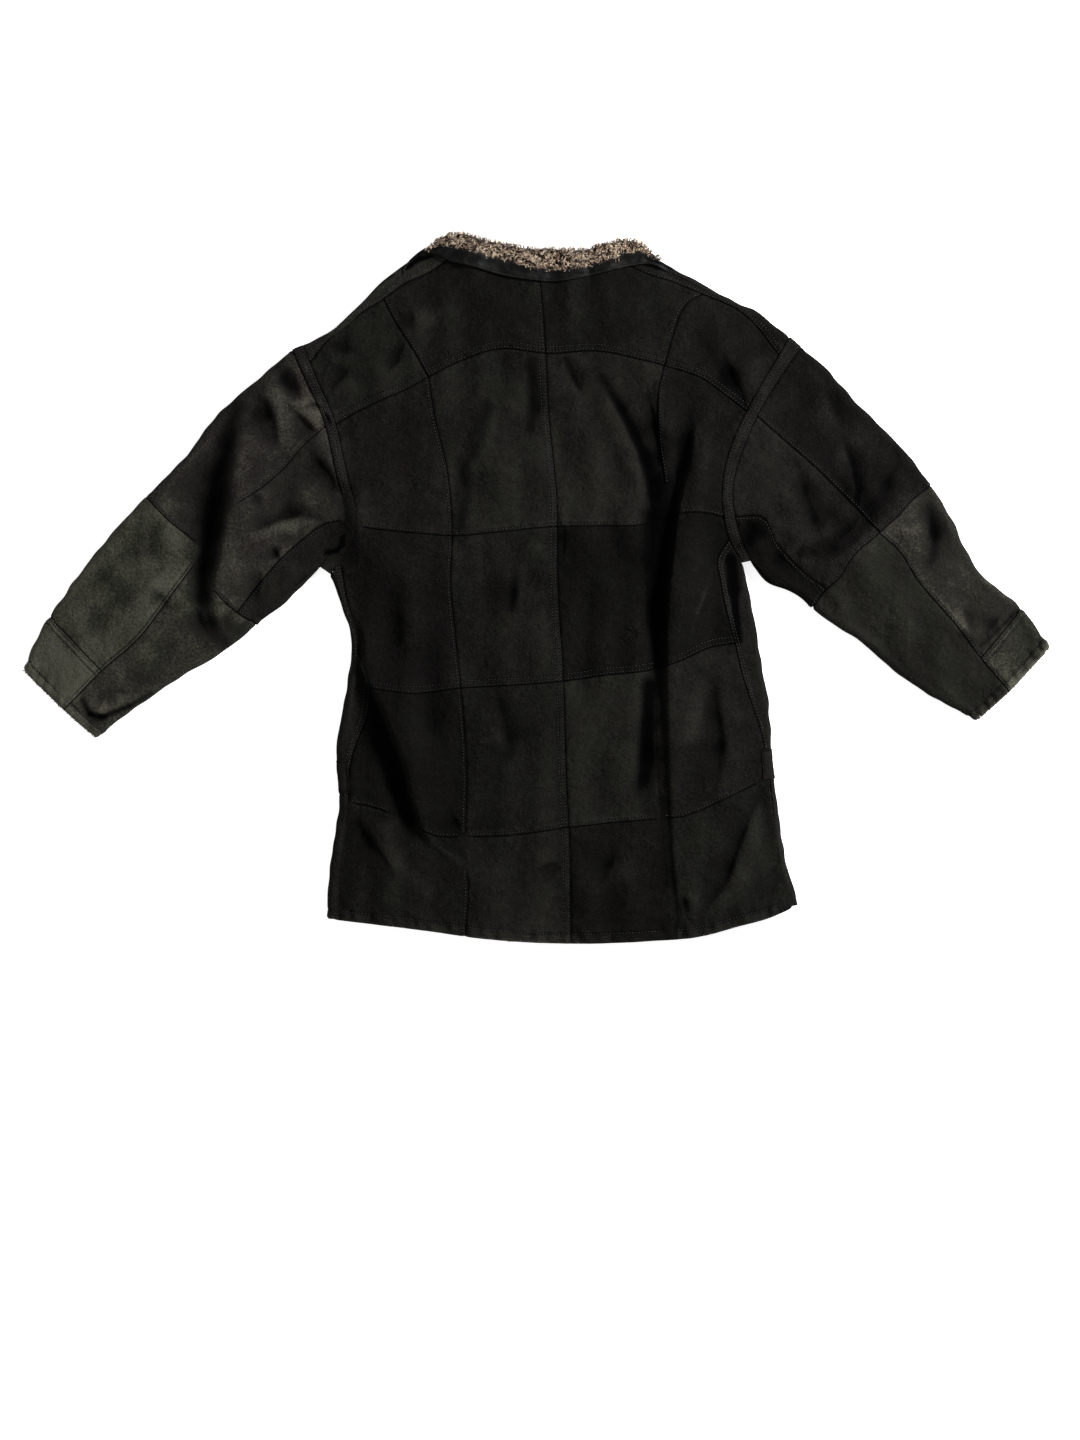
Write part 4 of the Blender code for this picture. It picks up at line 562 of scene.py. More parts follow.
class Relief:
    """The height of the coat's outside over the plan, worked out once on a lattice:
    loft from the rolled edges in, large folds as steep soft steps with a dip at their
    foot, creases as troughs with one steep side and a lifted lip, and a soft unevenness."""

    STEP = 1.5
    SPAN_X, SPAN_Y = (-700, 704), (-492, 488)

    def __init__(self):
        self.x = np.arange(*self.SPAN_X, self.STEP)
        self.y = np.arange(*self.SPAN_Y, self.STEP)
        some = slice(None, None, 4)  # distances are smooth, so every fourth will do
        coarse_x, coarse_y = self.x[some], self.y[some]
        point = self.points((some, some))
        away = np.full(len(point), np.inf)
        for kind in ("upper_edge", "lower_edge", "body_edge"):
            for side in SIDES:
                line = CURVES[kind + "_" + side][::3]
                away = np.minimum(away, np.abs(from_line(point, line)[0]))
        away = away.reshape(-1, len(coarse_x))
        rows = np.array([np.interp(self.x, coarse_x, row) for row in away])
        full = np.array([np.interp(self.y, coarse_y, column) for column in rows.T]).T
        inside = np.maximum(full - EDGE_RADIUS, 0)
        z = 2 * EDGE_RADIUS + LOFT * soft_step(inside / LOFT_RUN)
        calm = soft_step(inside / CALM_RUN)
        gx, gy = np.meshgrid(self.x, self.y)
        hang = soft_step((260 - np.abs(gx)) / 40)  # the back's own folds run down it
        z += calm * (1.8 * waves(gx, gy, 80, 3) + 0.3 * waves(gx, gy, 16, 8))
        z += calm * hang * 1.5 * waves(gx, 0.28 * gy, 42, 5)
        z += calm * (1 - hang) * 1.2 * waves(gx, gy, 44, 6)
        for rows, side, wall, run, dip, dip_run in FOLDS:
            line = smooth(np.reshape(rows, (-1, 3)), 8.0)
            box = self.window(line, run + 30)
            signed, tall = from_line(self.points(box), line)
            s = (signed * -side).reshape(z[box].shape)
            tall = tall.reshape(s.shape)
            rise = np.clip((s + wall) / (2 * wall), 0, 1) ** 1.6  # sharp at its top edge
            decay = 1 - soft_step((s - wall) / run)
            foot = bell(s + wall + 2, dip_run) * np.minimum(tall / 20, 1)
            z[box] += calm[box] * (tall * rise * decay - dip * foot)
        shade = np.zeros_like(z)  # painted shade along each crease's trough, a little painted highlight on its lip
        for rows, *sizes, side in CREASES:
            width, depth, lift = np.multiply(sizes, CREASE_SCALE)
            self.crease(z, calm, rows, width, depth, lift, side, shade)
        middle = soft_step((75 - np.abs(gx - 9)) / 18)  # over the fronts' lap
        soft = LOWEST_SOFT
        low = LOWEST + soft + (LOWEST_MIDDLE - LOWEST) * middle
        self.z = np.where(z > low, z, low - soft + soft * np.exp(np.minimum(z - low, 0) / soft))
        # painted shade: the relief's hollows and broad troughs darkened; small ridges a little
        # lighter, partly rubbed nap and partly painted highlight
        hollow = (self.z - self.blurred(self.z, 6)) / 2.0
        broad = (self.z - self.blurred(self.z, 20)) / 7.0
        self.worn = 0.1 * np.clip(hollow, -1.2, 0.6) + 0.22 * np.clip(broad + 0.4, -1.2, 0)
        self.worn += shade
        # painted shade, painted shadow and painted highlights, with some rubbed nap, from the
        # table
        for row in PAINTED_LIGHT_AND_WEAR:
            self.worn += row[5] * bell(to_stretch(gx, gy, row[:4]), row[4])
        self.hidden = np.zeros_like(z)
        for rows, width, depth, side in HIDDEN_CREASES:
            self.crease(self.hidden, np.ones_like(calm), rows, width, -depth, 0, side)
        self.hidden = np.maximum(self.hidden, 0)

    @staticmethod
    def blurred(field, reach):
        """The mean over a square of 2 * reach + 1 cells, twice."""
        for _ in range(2):
            for axis in (0, 1):
                ends = [(reach + 1, reach) if k == axis else (0, 0) for k in (0, 1)]
                total = np.cumsum(np.pad(field, ends, mode="edge"), axis=axis)
                wide = 2 * reach + 1
                high = np.take(total, range(wide, total.shape[axis]), axis=axis)
                low = np.take(total, range(total.shape[axis] - wide), axis=axis)
                field = (high - low) / wide
        return field

    def window(self, line, margin):
        low, high = line[:, :2].min(axis=0) - margin, line[:, :2].max(axis=0) + margin
        ends = [
            slice(max(int((a - start) / self.STEP), 0), int((b - start) / self.STEP) + 1)
            for a, b, start in zip(low, high, (self.x[0], self.y[0]))
        ]
        return ends[1], ends[0]

    def points(self, box):
        gx, gy = np.meshgrid(self.x[box[1]], self.y[box[0]])
        return np.stack([gx.ravel(), gy.ravel()], axis=1)

    def crease(self, z, calm, rows, width, depth, lift, side, shade=None):
        """A trough, steep on the side of its lip and wide on the other, fading at its
        ends, with a soft lifted lip beside it; into shade goes painted shade along the trough
        and a little painted highlight on the lip."""
        line = smooth(np.reshape(rows, (-1, 2)), 6.0)
        line = np.column_stack([line, length_of(line)])
        box = self.window(line, 6 * width)
        signed, along = from_line(self.points(box), line)
        s = (signed * side).reshape(z[box].shape)
        t = along.reshape(s.shape) / line[-1, -1]
        random = np.random.default_rng(int(abs(line[0, 0] * 7 + line[0, 1])))
        peak, phase = random.uniform(0.3, 0.7), random.uniform(0, 6)
        share = np.clip(np.where(t < peak, t / peak, (1 - t) / (1 - peak)), 0, 1)
        strong = soft_step(share) ** 0.7 * (1 + 0.18 * np.sin(phase + t * line[-1, -1] / 7.0))
        width = width * (0.5 + 0.5 * strong)
        wide = np.where(s > 0, 0.55 * width, 2.7 * width)
        trough = 0.65 * bell(s, wide) + 0.35 * bell(s, 0.4 * wide)
        lip = bell(s - 2.2 * width, 1.9 * width)
        z[box] += calm[box] * strong * (lift * lip - depth * trough)
        # painted shade: darker along the trough; painted highlight: a little lighter on the lip
        if shade is not None:
            band = bell(s, np.where(s > 0, 0.5 * width, 2.6 * width))
            shade[box] += calm[box] * strong * (0.02 * lift * lip - 0.036 * depth * band)

    def sample(self, field, grid):
        """A lattice's value at points, bilinear between its four neighbours."""
        x, y = grid[..., 0], grid[..., 1]
        i = np.clip((x - self.x[0]) / self.STEP, 0, len(self.x) - 1.001)
        j = np.clip((y - self.y[0]) / self.STEP, 0, len(self.y) - 1.001)
        i0, j0 = i.astype(int), j.astype(int)
        return bilinear(
            i - i0, j - j0, field[j0, i0], field[j0, i0 + 1], field[j0 + 1, i0],
            field[j0 + 1, i0 + 1],
        )

    def height(self, grid):
        return self.sample(self.z, grid)


RELIEF = Relief()


def right_of(ahead):
    """Unit directions to the right of the ways that lines in plan go."""
    ahead = unit(ahead)
    return np.stack([ahead[:, 1], -ahead[:, 0]], axis=1)


# -------------------- stretches of a shell
class Edge:
    """A rolled edge: its outline, the line where the roll begins and its directions."""

    def __init__(self, name, start, end):
        self.line = stretch(name, start, end)
        self.curve = CURVES[name]
        self.sign = 1 if name.startswith("lower_edge") != name.endswith("left") else -1

    def at(self, shares):
        """Outline points at shares of its length and their outward directions."""
        rows = divided(self.line, shares)
        near = np.argmin(np.linalg.norm(self.curve[:, None] - rows[None], axis=2), axis=0)
        last = len(self.curve) - 1
        ahead = self.curve[np.minimum(near + 4, last)] - self.curve[np.maximum(near - 4, 0)]
        return rows, self.sign * right_of(ahead)

    def inner(self, shares):
        rows, out = self.at(shares)
        return rows - EDGE_RADIUS * out


def on_top(grid):
    """A grid in plan, lifted onto the relief: points, directions and layer 1 (top)."""
    points = np.dstack([grid, RELIEF.height(grid)])
    return points, facing(grid.shape, 1.0), np.ones(grid.shape[:2])


def rolled(edge, shares, cells=9):
    """The round edge between the top and the underside: a half circle of EDGE_RADIUS
    about the line where the roll begins, turned from straight up to straight down."""
    rows, outward = edge.at(shares)
    inner = rows - EDGE_RADIUS * outward
    turn = np.linspace(0, math.pi, cells + 1)[1:-1]
    out = swept(outward, turn)
    centre = np.column_stack([inner, np.full(len(inner), EDGE_RADIUS)])
    along = length_of(rows)[:, None] + rows.sum()
    soft = 0.7 * waves(along, np.sin(turn)[None, :] * 30, 34, 11) * np.sin(turn)[None, :]
    points = centre[:, None] + (EDGE_RADIUS + soft[..., None]) * out
    return points, out, (1 + np.cos(turn))[None, :] / 2 * np.ones((len(rows), 1))


def underneath(grid):
    """A grid in plan, flat on the ground, facing down, with pressed creases lifted."""
    z = RELIEF.sample(RELIEF.hidden, grid)
    for y in BUTTON_ROWS_Y:
        away = np.hypot(grid[..., 0] - BUTTON_X, grid[..., 1] - y)
        z = np.maximum(z, BUTTON_DEPTH * (1 - soft_step((away - BUTTON_HOLLOW) / 6)))
    return np.dstack([grid, z]), facing(grid.shape, -1.0), np.zeros(grid.shape[:2])


def shares_down(seam, edge):
    """The shares for the rows of a pelt between a seam and a rolled edge."""
    return spaced(longest(seam, edge.line), cell())


def turned_over(edge, v, top, under):
    """A pelt that lies on top, turns over a rolled edge and runs on beneath. top and
    under are rows: first line, last line, the line facing the edge, shares across."""
    inner = edge.inner(v)
    first, last, seam, u = top
    upper = filled(first, last, seam, inner, u, v)
    upper[:, -1] = inner
    first, last, far, u = under
    lower = filled(first, last, inner, far, u, v)
    lower[:, 0] = inner
    return beside(on_top(upper), rolled(edge, v), underneath(lower))


def beside(*parts, axis=1):
    """Stretches joined into one grid, side by side, or end to end with axis 0."""
    return tuple(np.concatenate([part[k] for part in parts], axis=axis) for k in range(3))


# How each kind of seam stands: its lift, how far that reaches and fades, the depth and
# width of its cut edge, how deep the stitches sink, how much it puckers
SEAM_SHAPES = {
    "lap": (0.5, 9, 6, 0.8, 0.7, 0.7, 0.4), "fell": (0.45, 3.5, 4, 0.9, 0.8, 0.5, 0.4),
    "hem": (0.5, 13, 4, 2.2, 1.9, 0.8, 0.0), "under": (0.0, 1, 1, 1.0, 2.2, 0.0, 0.4),
    "strap": (0.0, 1, 1, 1.1, 0.9, 0.6, 0.25), "free": (0.0, 1, 1, 1.1, 0.9, 0.6, 0.25),
}


def seam_relief(kind, away, along, seed):
    """What a seam adds to the surface at a distance from it: a lapped edge is one skin
    higher, round at its cut edge, with a groove under each stitch row; the skin below
    it sinks; a hem turns down. Puckers are short waves along the seam that fade off it."""
    lift, reach, fade, depth, width, sunk, gathered = SEAM_SHAPES[kind]
    pucker = waves(along, away * 0.6, 9.0, seed, 8) * bell(away - 4, 6.5)
    groove = sum(bell(away - row, 0.8) for row in STITCH_ROWS.get(kind, ()))
    shape = lift * (1 - soft_step((away - reach) / fade)) - depth * bell(away, width)
    if kind == "hem":
        shape += 2.2 * waves(along, away * 0.5, 15.0, seed + 1, 8) * bell(away - 9, 8)
    return shape - sunk * groove + gathered * pucker


def seam_wear(kind, away):
    """How worn and how shaded the skin is near a seam: dark under the stitches, lighter
    on the band between the rows, and painted shade in the seam's groove and where a skin
    goes under its neighbour."""
    rows = sum(bell(away - row, 0.9) for row in STITCH_ROWS.get(kind, ()))
    if kind in ("lap", "fell", "strap", "free"):
        # the last 0.6 mm at the seam: painted shade in its groove
        return 0.05 * (1 - soft_step((away - 5) / 6)) - 0.35 * rows - 0.4 * (away < 0.6)
    if kind == "hem":
        light = 0.25 * bell(away, 3.0) + 0.1 * (1 - soft_step((away - 9) / 6))
        return light - 0.4 * rows
    if kind == "under":
        # painted shade where this skin goes under its neighbour
        return -bell(away, 0.9)
    return 0 * away


def lowered(field, reach):
    """The lowest value of a grid within a reach of each of its points."""
    for axis in (0, 1):
        ends = [(reach, reach) if k == axis else (0, 0) for k in (0, 1)]
        wide = np.pad(field, ends, mode="edge")
        size = field.shape[axis]
        field = np.min(
            [np.take(wide, range(k, k + size), axis=axis) for k in range(2 * reach + 1)], axis=0
        )
    return field


BORDERS = (np.s_[0, :], np.s_[-1, :], np.s_[:, 0], np.s_[:, -1])
NEXT_IN = (np.s_[1, :], np.s_[-2, :], np.s_[:, 1], np.s_[:, -2])


class Shell:
    """A pelt's grid with its seams: points outside and inside, and the distance of each
    point to the four sides (first row, last row, left column, right column)."""

    def __init__(self, name, parts, sides, wall=WALL, gap=0.12, raised=0.0):
        points, out, layer = parts
        self.name, self.sides, self.out = name, sides, out
        down = np.linalg.norm(np.diff(points, axis=0), axis=2)
        over = np.linalg.norm(np.diff(points, axis=1), axis=2)
        self.down = np.cumsum(np.insert(down, 0, 0, axis=0), axis=0)
        self.over = np.cumsum(np.insert(over, 0, 0, axis=1), axis=1)
        away = (
            self.down, self.down[-1:] - self.down, self.over, self.over[:, -1:] - self.over,
        )
        along = (self.over, self.over, self.down, self.down)
        seed = sum(ord(c) for c in name)
        fine, wear_and_shade_at_seams = np.zeros(points.shape[:2]), np.zeros(points.shape[:2])
        shows = seam_shows(points)
        for k, kind in enumerate(sides):
            if kind:
                least = 0.3 if kind == "under" else 0.0  # it still dips below its neighbour
                added = seam_relief(kind, away[k], along[k] + 37 * k, seed + k)
                fine = fine + added * np.maximum(shows, least)
                wear_and_shade_at_seams = wear_and_shade_at_seams + seam_wear(kind, away[k]) * shows
        fine = np.where(layer < 0.05, np.minimum(fine - 0.05, 0), fine)
        fine = fine + raised
        # seam wear and painted shade at the seams, and the relief's painted light and wear on top
        self.worn = wear_and_shade_at_seams + RELIEF.sample(RELIEF.worn, points) * layer
        self.outer = points + out * fine[..., None]
        self.pull_in([OVERLAP.get(kind, gap) for kind in sides])
        wall = np.where(layer < 0.05, np.maximum(wall - points[..., 2], 2.4), wall)
        self.inner = np.where(
            (layer > 0.95)[..., None], points - (0, 0, 1) * wall[..., None],
            points - out * wall[..., None],
        )
        z = self.inner[..., 2]
        z[:] = np.where(layer > 0.95, np.minimum(z, lowered(z, 4) + 1.5), z)
        for edge in BORDERS:
            self.inner[edge][..., :2] += (self.outer[edge] - points[edge])[..., :2]

    def pull_in(self, gaps):
        """Each side drawn in by its gap, or let out below its neighbour."""
        for side, neighbour, gap in zip(BORDERS, NEXT_IN, gaps):
            self.outer[side] += unit(self.outer[neighbour] - self.outer[side]) * gap

    def row_at(self, side, distance):
        """The line at a distance inside one side, on the surface, and its directions:
        each grid line that starts at the side, followed until its length is reached."""
        grid, out, away = self.outer, self.out, (self.down, self.over)[side // 2]
        if side // 2 == 0:
            grid, out, away = np.swapaxes(grid, 0, 1), np.swapaxes(out, 0, 1), away.T
        if side % 2:
            grid, out, away = grid[:, ::-1], out[:, ::-1], away[:, -1:] - away[:, ::-1]
        k = np.clip((away < distance).sum(axis=1), 1, away.shape[1] - 1)
        line = np.arange(len(k))
        a, b = away[line, k - 1], away[line, k]
        t = ((distance - a) / np.maximum(b - a, 1e-6))[:, None]
        place = grid[line, k - 1] * (1 - t) + grid[line, k] * t
        up = out[line, k - 1] * (1 - t) + out[line, k] * t
        return place, unit(up)


def to_metres(points):
    return (points - (*MIDDLE, 0.0)) * MM


def placed(name, data):
    """A new object in the scene for a mesh, a lamp or a camera."""
    made = bpy.data.objects.new(name, data)
    bpy.context.scene.collection.objects.link(made)
    return made


def mesh_object(name, points, faces, attributes=(), smooth_below=50.0):
    """A mesh object from points in mm and faces; attributes are rows (name, values)."""
    mesh = bpy.data.meshes.new(name)
    mesh.from_pydata(to_metres(points).tolist(), [], faces)
    for key, values in attributes:
        layer = mesh.attributes.new(key, "FLOAT", "POINT")
        layer.data.foreach_set("value", np.ascontiguousarray(values, dtype=np.float32))
    mesh.shade_smooth()
    if smooth_below:
        mesh.set_sharp_from_angle(angle=math.radians(smooth_below))
    return placed(name, mesh)


def shell_faces(outer, out, coarse):
    """Faces of a closed shell: the outer grid's cells, a rim, and an inside whose cells
    are coarse times larger but keep every point of the rim."""
    rows, columns = outer.shape[:2]
    number = np.arange(rows * columns).reshape(rows, columns)
    kept_rows = sorted({*range(0, rows - 1, coarse), rows - 1})
    kept_columns = sorted({*range(0, columns - 1, coarse), columns - 1})
    used = np.zeros((rows, columns), bool)
    used[0, :] = used[-1, :] = used[:, 0] = used[:, -1] = True
    used[np.ix_(kept_rows, kept_columns)] = True
    inner = np.full((rows, columns), -1)
    inner[used] = rows * columns + np.arange(used.sum())
    quads = np.stack(
        [number[:-1, :-1], number[:-1, 1:], number[1:, 1:], number[1:, :-1]], axis=-1
    ).reshape(-1, 4)
    ring = np.concatenate([number[0, :-1], number[:-1, -1], number[-1, :0:-1], number[:0:-1, 0]])
    under = inner.ravel()[ring]
    rim = np.stack([np.roll(ring, -1), ring, under, np.roll(under, -1)], axis=1)
    inside = []
    for a, b in zip(kept_rows[:-1], kept_rows[1:]):
        for c, d in zip(kept_columns[:-1], kept_columns[1:]):
            top = range(c, d) if a == 0 else (c,)
            right = range(a, b) if d == columns - 1 else (a,)
            bottom = range(d, c, -1) if b == rows - 1 else (d,)
            left = range(b, a, -1) if c == 0 else (b,)
            loop = [(a, j) for j in top] + [(i, d) for i in right]
            loop += [(b, j) for j in bottom] + [(i, c) for i in left]
            inside.append([int(inner[i, j]) for i, j in loop][::-1])
    faces = quads.tolist() + rim.tolist() + inside
    tall = np.cross(outer[1:, :-1] - outer[:-1, :-1], outer[:-1, 1:] - outer[:-1, :-1])
    if (tall * out[:-1, :-1]).sum() > 0:
        faces = [face[::-1] for face in faces]
    return faces, used, len(quads), len(rim)


def make_shell(shell, materials, coarse=4):
    """Turns a Shell into a closed piece that stands for its node and hides the node's own part.
    """
    faces, used, skin_faces, rim_faces = shell_faces(shell.outer, shell.out, coarse)
    points = np.concatenate([shell.outer.reshape(-1, 3), shell.inner[used]])
    light, warm = TONES.get(shell.name, PLAIN_TONE)
    # per point: wear and painted light, which the nubuck's colour follows
    worn = np.concatenate([shell.worn.ravel(), np.zeros(used.sum())])
    looks = (
        ("worn", worn), ("lightness", np.full(len(points), light)),
        ("warmth", np.full(len(points), warm)),
    )
    made = mesh_object(shell.name + SKIN, points, faces, looks)
    for key in materials:
        made.data.materials.append(material(key))
    index = np.ones(len(faces), dtype=np.int32)
    index[: skin_faces + rim_faces] = 0
    made.data.polygons.foreach_set("material_index", index)
    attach(made, "root")
    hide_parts(shell.name)


# -------------------- stitches
STITCHES = {}  # group name: list of (places of start, middle and end, directions)


def sew(group, line, up):
    """Notes a row of stitches along a line."""
    sizes = bpy.context.scene.coat_sizes
    pitch, length = sizes.stitch_pitch / MM, sizes.stitch_length / MM
    along = length_of(line)
    count = int((along[-1] - 2) / pitch)
    if count < 2:
        return
    centre = (np.arange(count) + 0.5) * (along[-1] / count)
    spots = [np.clip(centre + k * length / 2, 0, along[-1]) for k in (-1, 0, 1)]
    places = [read_off(at, along, line) for at in spots]
    rise = unit(read_off(centre, along, up))
    shown = seam_shows(places[1]) > 0.5
    if shown.any():
        STITCHES.setdefault(group, []).append(([place[shown] for place in places], rise[shown]))


def sew_shell(group, shell):
    """Stitch rows along every side of a shell that has them."""
    for side, kind in enumerate(shell.sides):
        for distance in STITCH_ROWS.get(kind, ()):
            line, up = shell.row_at(side, distance)
            sew(group, line[1:-1], up[1:-1])


def stitch_mesh(group, rows, width, material):
    """All stitches of a group as one mesh. A stitch is a thread of four sides whose ends
    dive into the skin: rings at both ends and the middle, half an ellipse above it."""
    first, middle, last = (
        np.concatenate([places[k] for places, _ in rows]) for k in range(3)
    )
    up = np.concatenate([rise for _, rise in rows])
    across = np.cross(up, unit(last - first))
    rings = []
    for place, swell, lift in (
        (first, 0.45, -0.35), (0.6 * middle + 0.4 * first, 1.0, 0.12),
        (0.6 * middle + 0.4 * last, 1.0, 0.12), (last, 0.45, -0.35),
    ):
        centre, half = place + up * (lift * width), width / 2 * swell
        corners = (across * half, up * half, -across * half, -up * half)
        rings.append(np.stack([centre + corner for corner in corners], axis=1))
    points = np.stack(rings, axis=1).reshape(-1, 3)
    ring = np.array([[k, (k + 1) % 4, (k + 1) % 4 + 4, k + 4] for k in range(4)])
    faces = np.concatenate([ring, ring + 4, ring + 8, [[3, 2, 1, 0], [12, 13, 14, 15]]])
    faces = (faces[None] + 16 * np.arange(len(first))[:, None, None]).reshape(-1, 4)
    made = mesh_object(group, points, faces.tolist(), smooth_below=0)
    made.data.materials.append(material)
    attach(made, "root")


# -------------------- materials
def linear(code):
    """An sRGB hex colour as linear red, green, blue and alpha."""
    parts = [int(code[k:k + 2], 16) / 255 for k in (1, 3, 5)]
    return (
        *[p / 12.92 if p <= 0.04045 else ((p + 0.055) / 1.055) ** 2.4 for p in parts], 1.0,
    )


def plug(tree, node, inputs):
    """Sets a node's inputs, or links them where the value comes from another node."""
    for key, value in inputs.items():
        if isinstance(value, bpy.types.NodeSocket):
            tree.links.new(value, node.inputs[key])
        else:
            node.inputs[key].default_value = value


def add(tree, kind, output, inputs=None, **settings):
    """Adds a node, sets its properties and inputs, and gives one of its outputs."""
    node = tree.nodes.new("ShaderNode" + kind)
    for key, value in settings.items():
        setattr(node, key, value)
    plug(tree, node, inputs or {})
    return node.outputs[output]


def blank(name):
    """A new node material, its tree, its shader and the place on the object."""
    material = bpy.data.materials.new(name)
    material.use_nodes = True
    tree = material.node_tree
    return material, tree, tree.nodes["Principled BSDF"], add(tree, "TexCoord", "Object")


def held(tree, name):
    """A value that the mesh holds at each of its points."""
    return add(tree, "Attribute", "Fac", attribute_name=name)


def noise(tree, place, scale, detail, roughness=0.5, distortion=0.0):
    inputs = {"Vector": place, "Scale": scale, "Detail": detail, "Roughness": roughness}
    return add(tree, "TexNoise", "Fac", {**inputs, "Distortion": distortion})


def spread(tree, value, low, high, top=1.0, shape="LINEAR"):
    """A value between low and high brought to 0 and top, and kept between them."""
    inputs = {"Value": value, "From Min": low, "From Max": high, "To Max": top}
    return add(tree, "MapRange", "Result", inputs, interpolation_type=shape)


def sum_of(tree, operation, *values, clamp=False):
    inputs = dict(enumerate(values))
    return add(tree, "Math", 0, inputs, operation=operation, use_clamp=clamp)


def mixed(tree, share, a, b, blend="MIX"):
    inputs = {"Factor": share, "A": a, "B": b}
    return add(tree, "Mix", "Result", inputs, data_type="RGBA", blend_type=blend)


def bumped(tree, height, strength, distance, under=None, invert=False):
    """Unevenness of a height, laid over the one under it."""
    inputs = {"Height": height, "Strength": strength, "Distance": distance}
    if under:
        inputs["Normal"] = under
    return add(tree, "Bump", "Normal", inputs, invert=invert)


def ramp(tree, value, stops):
    """A colour ramp, stops are rows (position, colour as hex or as four numbers)."""
    node = add(tree, "ValToRGB", "Color", {"Fac": value}).node
    while len(node.color_ramp.elements) < len(stops):
        node.color_ramp.elements.new(0.5)
    for element, (position, colour) in zip(node.color_ramp.elements, stops):
        element.position = position
        element.color = linear(colour) if isinstance(colour, str) else colour
    return node.outputs["Color"]


def nubuck(colours):
    """Nubuck: sheepskin buffed on its outside to a short nap. Matt, with a faint sheen,
    cloudy where the nap lies differently and greyer where it is worn. Painted shade darkens
    it along folds, creases and hollows, painted highlights lighten some ridges, and painted
    shadow turns it nearly black in the deepest clefts."""
    material, tree, shader, place = blank("nubuck")
    clouds = noise(tree, place, 7.5, 6.0, 0.55)  # 130 mm patches, the nap another way
    mottle = noise(tree, place, 320.0, 5.0, 0.75)  # 3 mm scuffs
    wander = noise(tree, place, 34.0, 3.0, 0.5, 0.6)  # its middle gives thin wrinkles
    lumps = noise(tree, place, 62.0, 3.0, 0.6)  # soft unevenness about 15 mm across
    patches = noise(tree, place, 26.0, 4.0, 0.6)  # 40 mm patches of another tint
    nap = noise(tree, place, 650.0, 3.0, 0.6)  # 1.5 mm tufts, coarse so that they show
    worn, light, warm = (held(tree, name) for name in ("worn", "lightness", "warmth"))
    cloud = spread(tree, clouds, 0.34, 0.66)
    scuff = spread(tree, mottle, 0.38, 0.7)
    patch = spread(tree, patches, 0.3, 0.7)
    # wear and painted light held by the mesh, with tone and noise, pick the colour
    total = worn
    for value, share in ((light, 0.8), (cloud, 0.16), (patch, 0.06), (scuff, 0.22)):
        total = sum_of(tree, "MULTIPLY_ADD", value, share, total)
    # from painted shade at the bottom of the ramp up to worn nap and painted highlight at the top
    shade = ramp(tree, total, [
        (0.0, colours.nap_deep), (0.4, colours.nap), (0.72, colours.rubbed),
        (1.0, colours.worn),
    ])
    warmer = sum_of(tree, "ADD", warm, 0.35)
    tinted = sum_of(tree, "MULTIPLY_ADD", patch, -0.7, warmer, clamp=True)
    tint = mixed(tree, tinted, COOL_TINT, WARM_TINT)
    colour = mixed(tree, 1.0, shade, tint, "MULTIPLY")
    speck = ramp(tree, nap, [(0.3, (0.62, 0.62, 0.62, 1)), (0.7, (1.3, 1.3, 1.28, 1))])
    colour = mixed(tree, 1.0, colour, speck, "MULTIPLY")
    black = spread(tree, worn, -0.35, -1.0, 0.9)  # in the skins' shadow on each other
    off = sum_of(tree, "ABSOLUTE", sum_of(tree, "SUBTRACT", wander, 0.5))
    wrinkle = spread(tree, off, 0.0, 0.035, shape="SMOOTHSTEP")
    under = None
    for height, strength, distance in (
        (lumps, 0.6, 0.005), (wrinkle, 0.5, 0.0009), (mottle, 0.5, 0.0012), (nap, 0.5, 0.0005),
    ):
        under = bumped(tree, height, strength, distance, under)
    plug(tree, shader, {
        "Base Color": mixed(tree, black, colour, SHADOW), "Normal": under,
        "Specular IOR Level": sum_of(tree, "MULTIPLY_ADD", black, -0.033, 0.03),
        "Roughness": 0.95,
    })
    return material


def smooth_leather(colours):
    """Grain leather, dyed and finished: satin, with fine creases, scuffs and a lighter free edge.
    """
    material, tree, shader, place = blank("dyed_grain_leather")
    grain = add(tree, "TexVoronoi", "Distance", {"Vector": place, "Scale": 520.0})
    scuffs = noise(tree, place, 60.0, 6.0, 0.65)
    share = sum_of(tree, "MULTIPLY_ADD", scuffs, 1.1, -0.5)
    # the relief's painted shade and the lighter free edge both come in here
    total = sum_of(tree, "MULTIPLY_ADD", held(tree, "worn"), 0.7, share, clamp=True)
    plug(tree, shader, {
        "Base Color": mixed(tree, total, linear(colours.leather), linear(colours.leather_worn)),
        "Normal": bumped(tree, grain, 0.3, 0.0004),
        "Roughness": 0.6, "Specular IOR Level": 0.1,
    })
    return material


def fur(name, stops, sheen):
    """Curly fleece: each lock is dark at its root and frosted at its tip."""
    material, tree, shader, _ = blank(name)
    shifted = sum_of(tree, "MULTIPLY_ADD", held(tree, "lock"), 0.8, held(tree, "tip"))
    frost = sum_of(tree, "SUBTRACT", shifted, 0.42, clamp=True)
    plug(tree, shader, {
        "Base Color": ramp(tree, frost, stops),
        "Roughness": 0.75, "Sheen Weight": sheen, "Specular IOR Level": 0.3,
    })
    return material


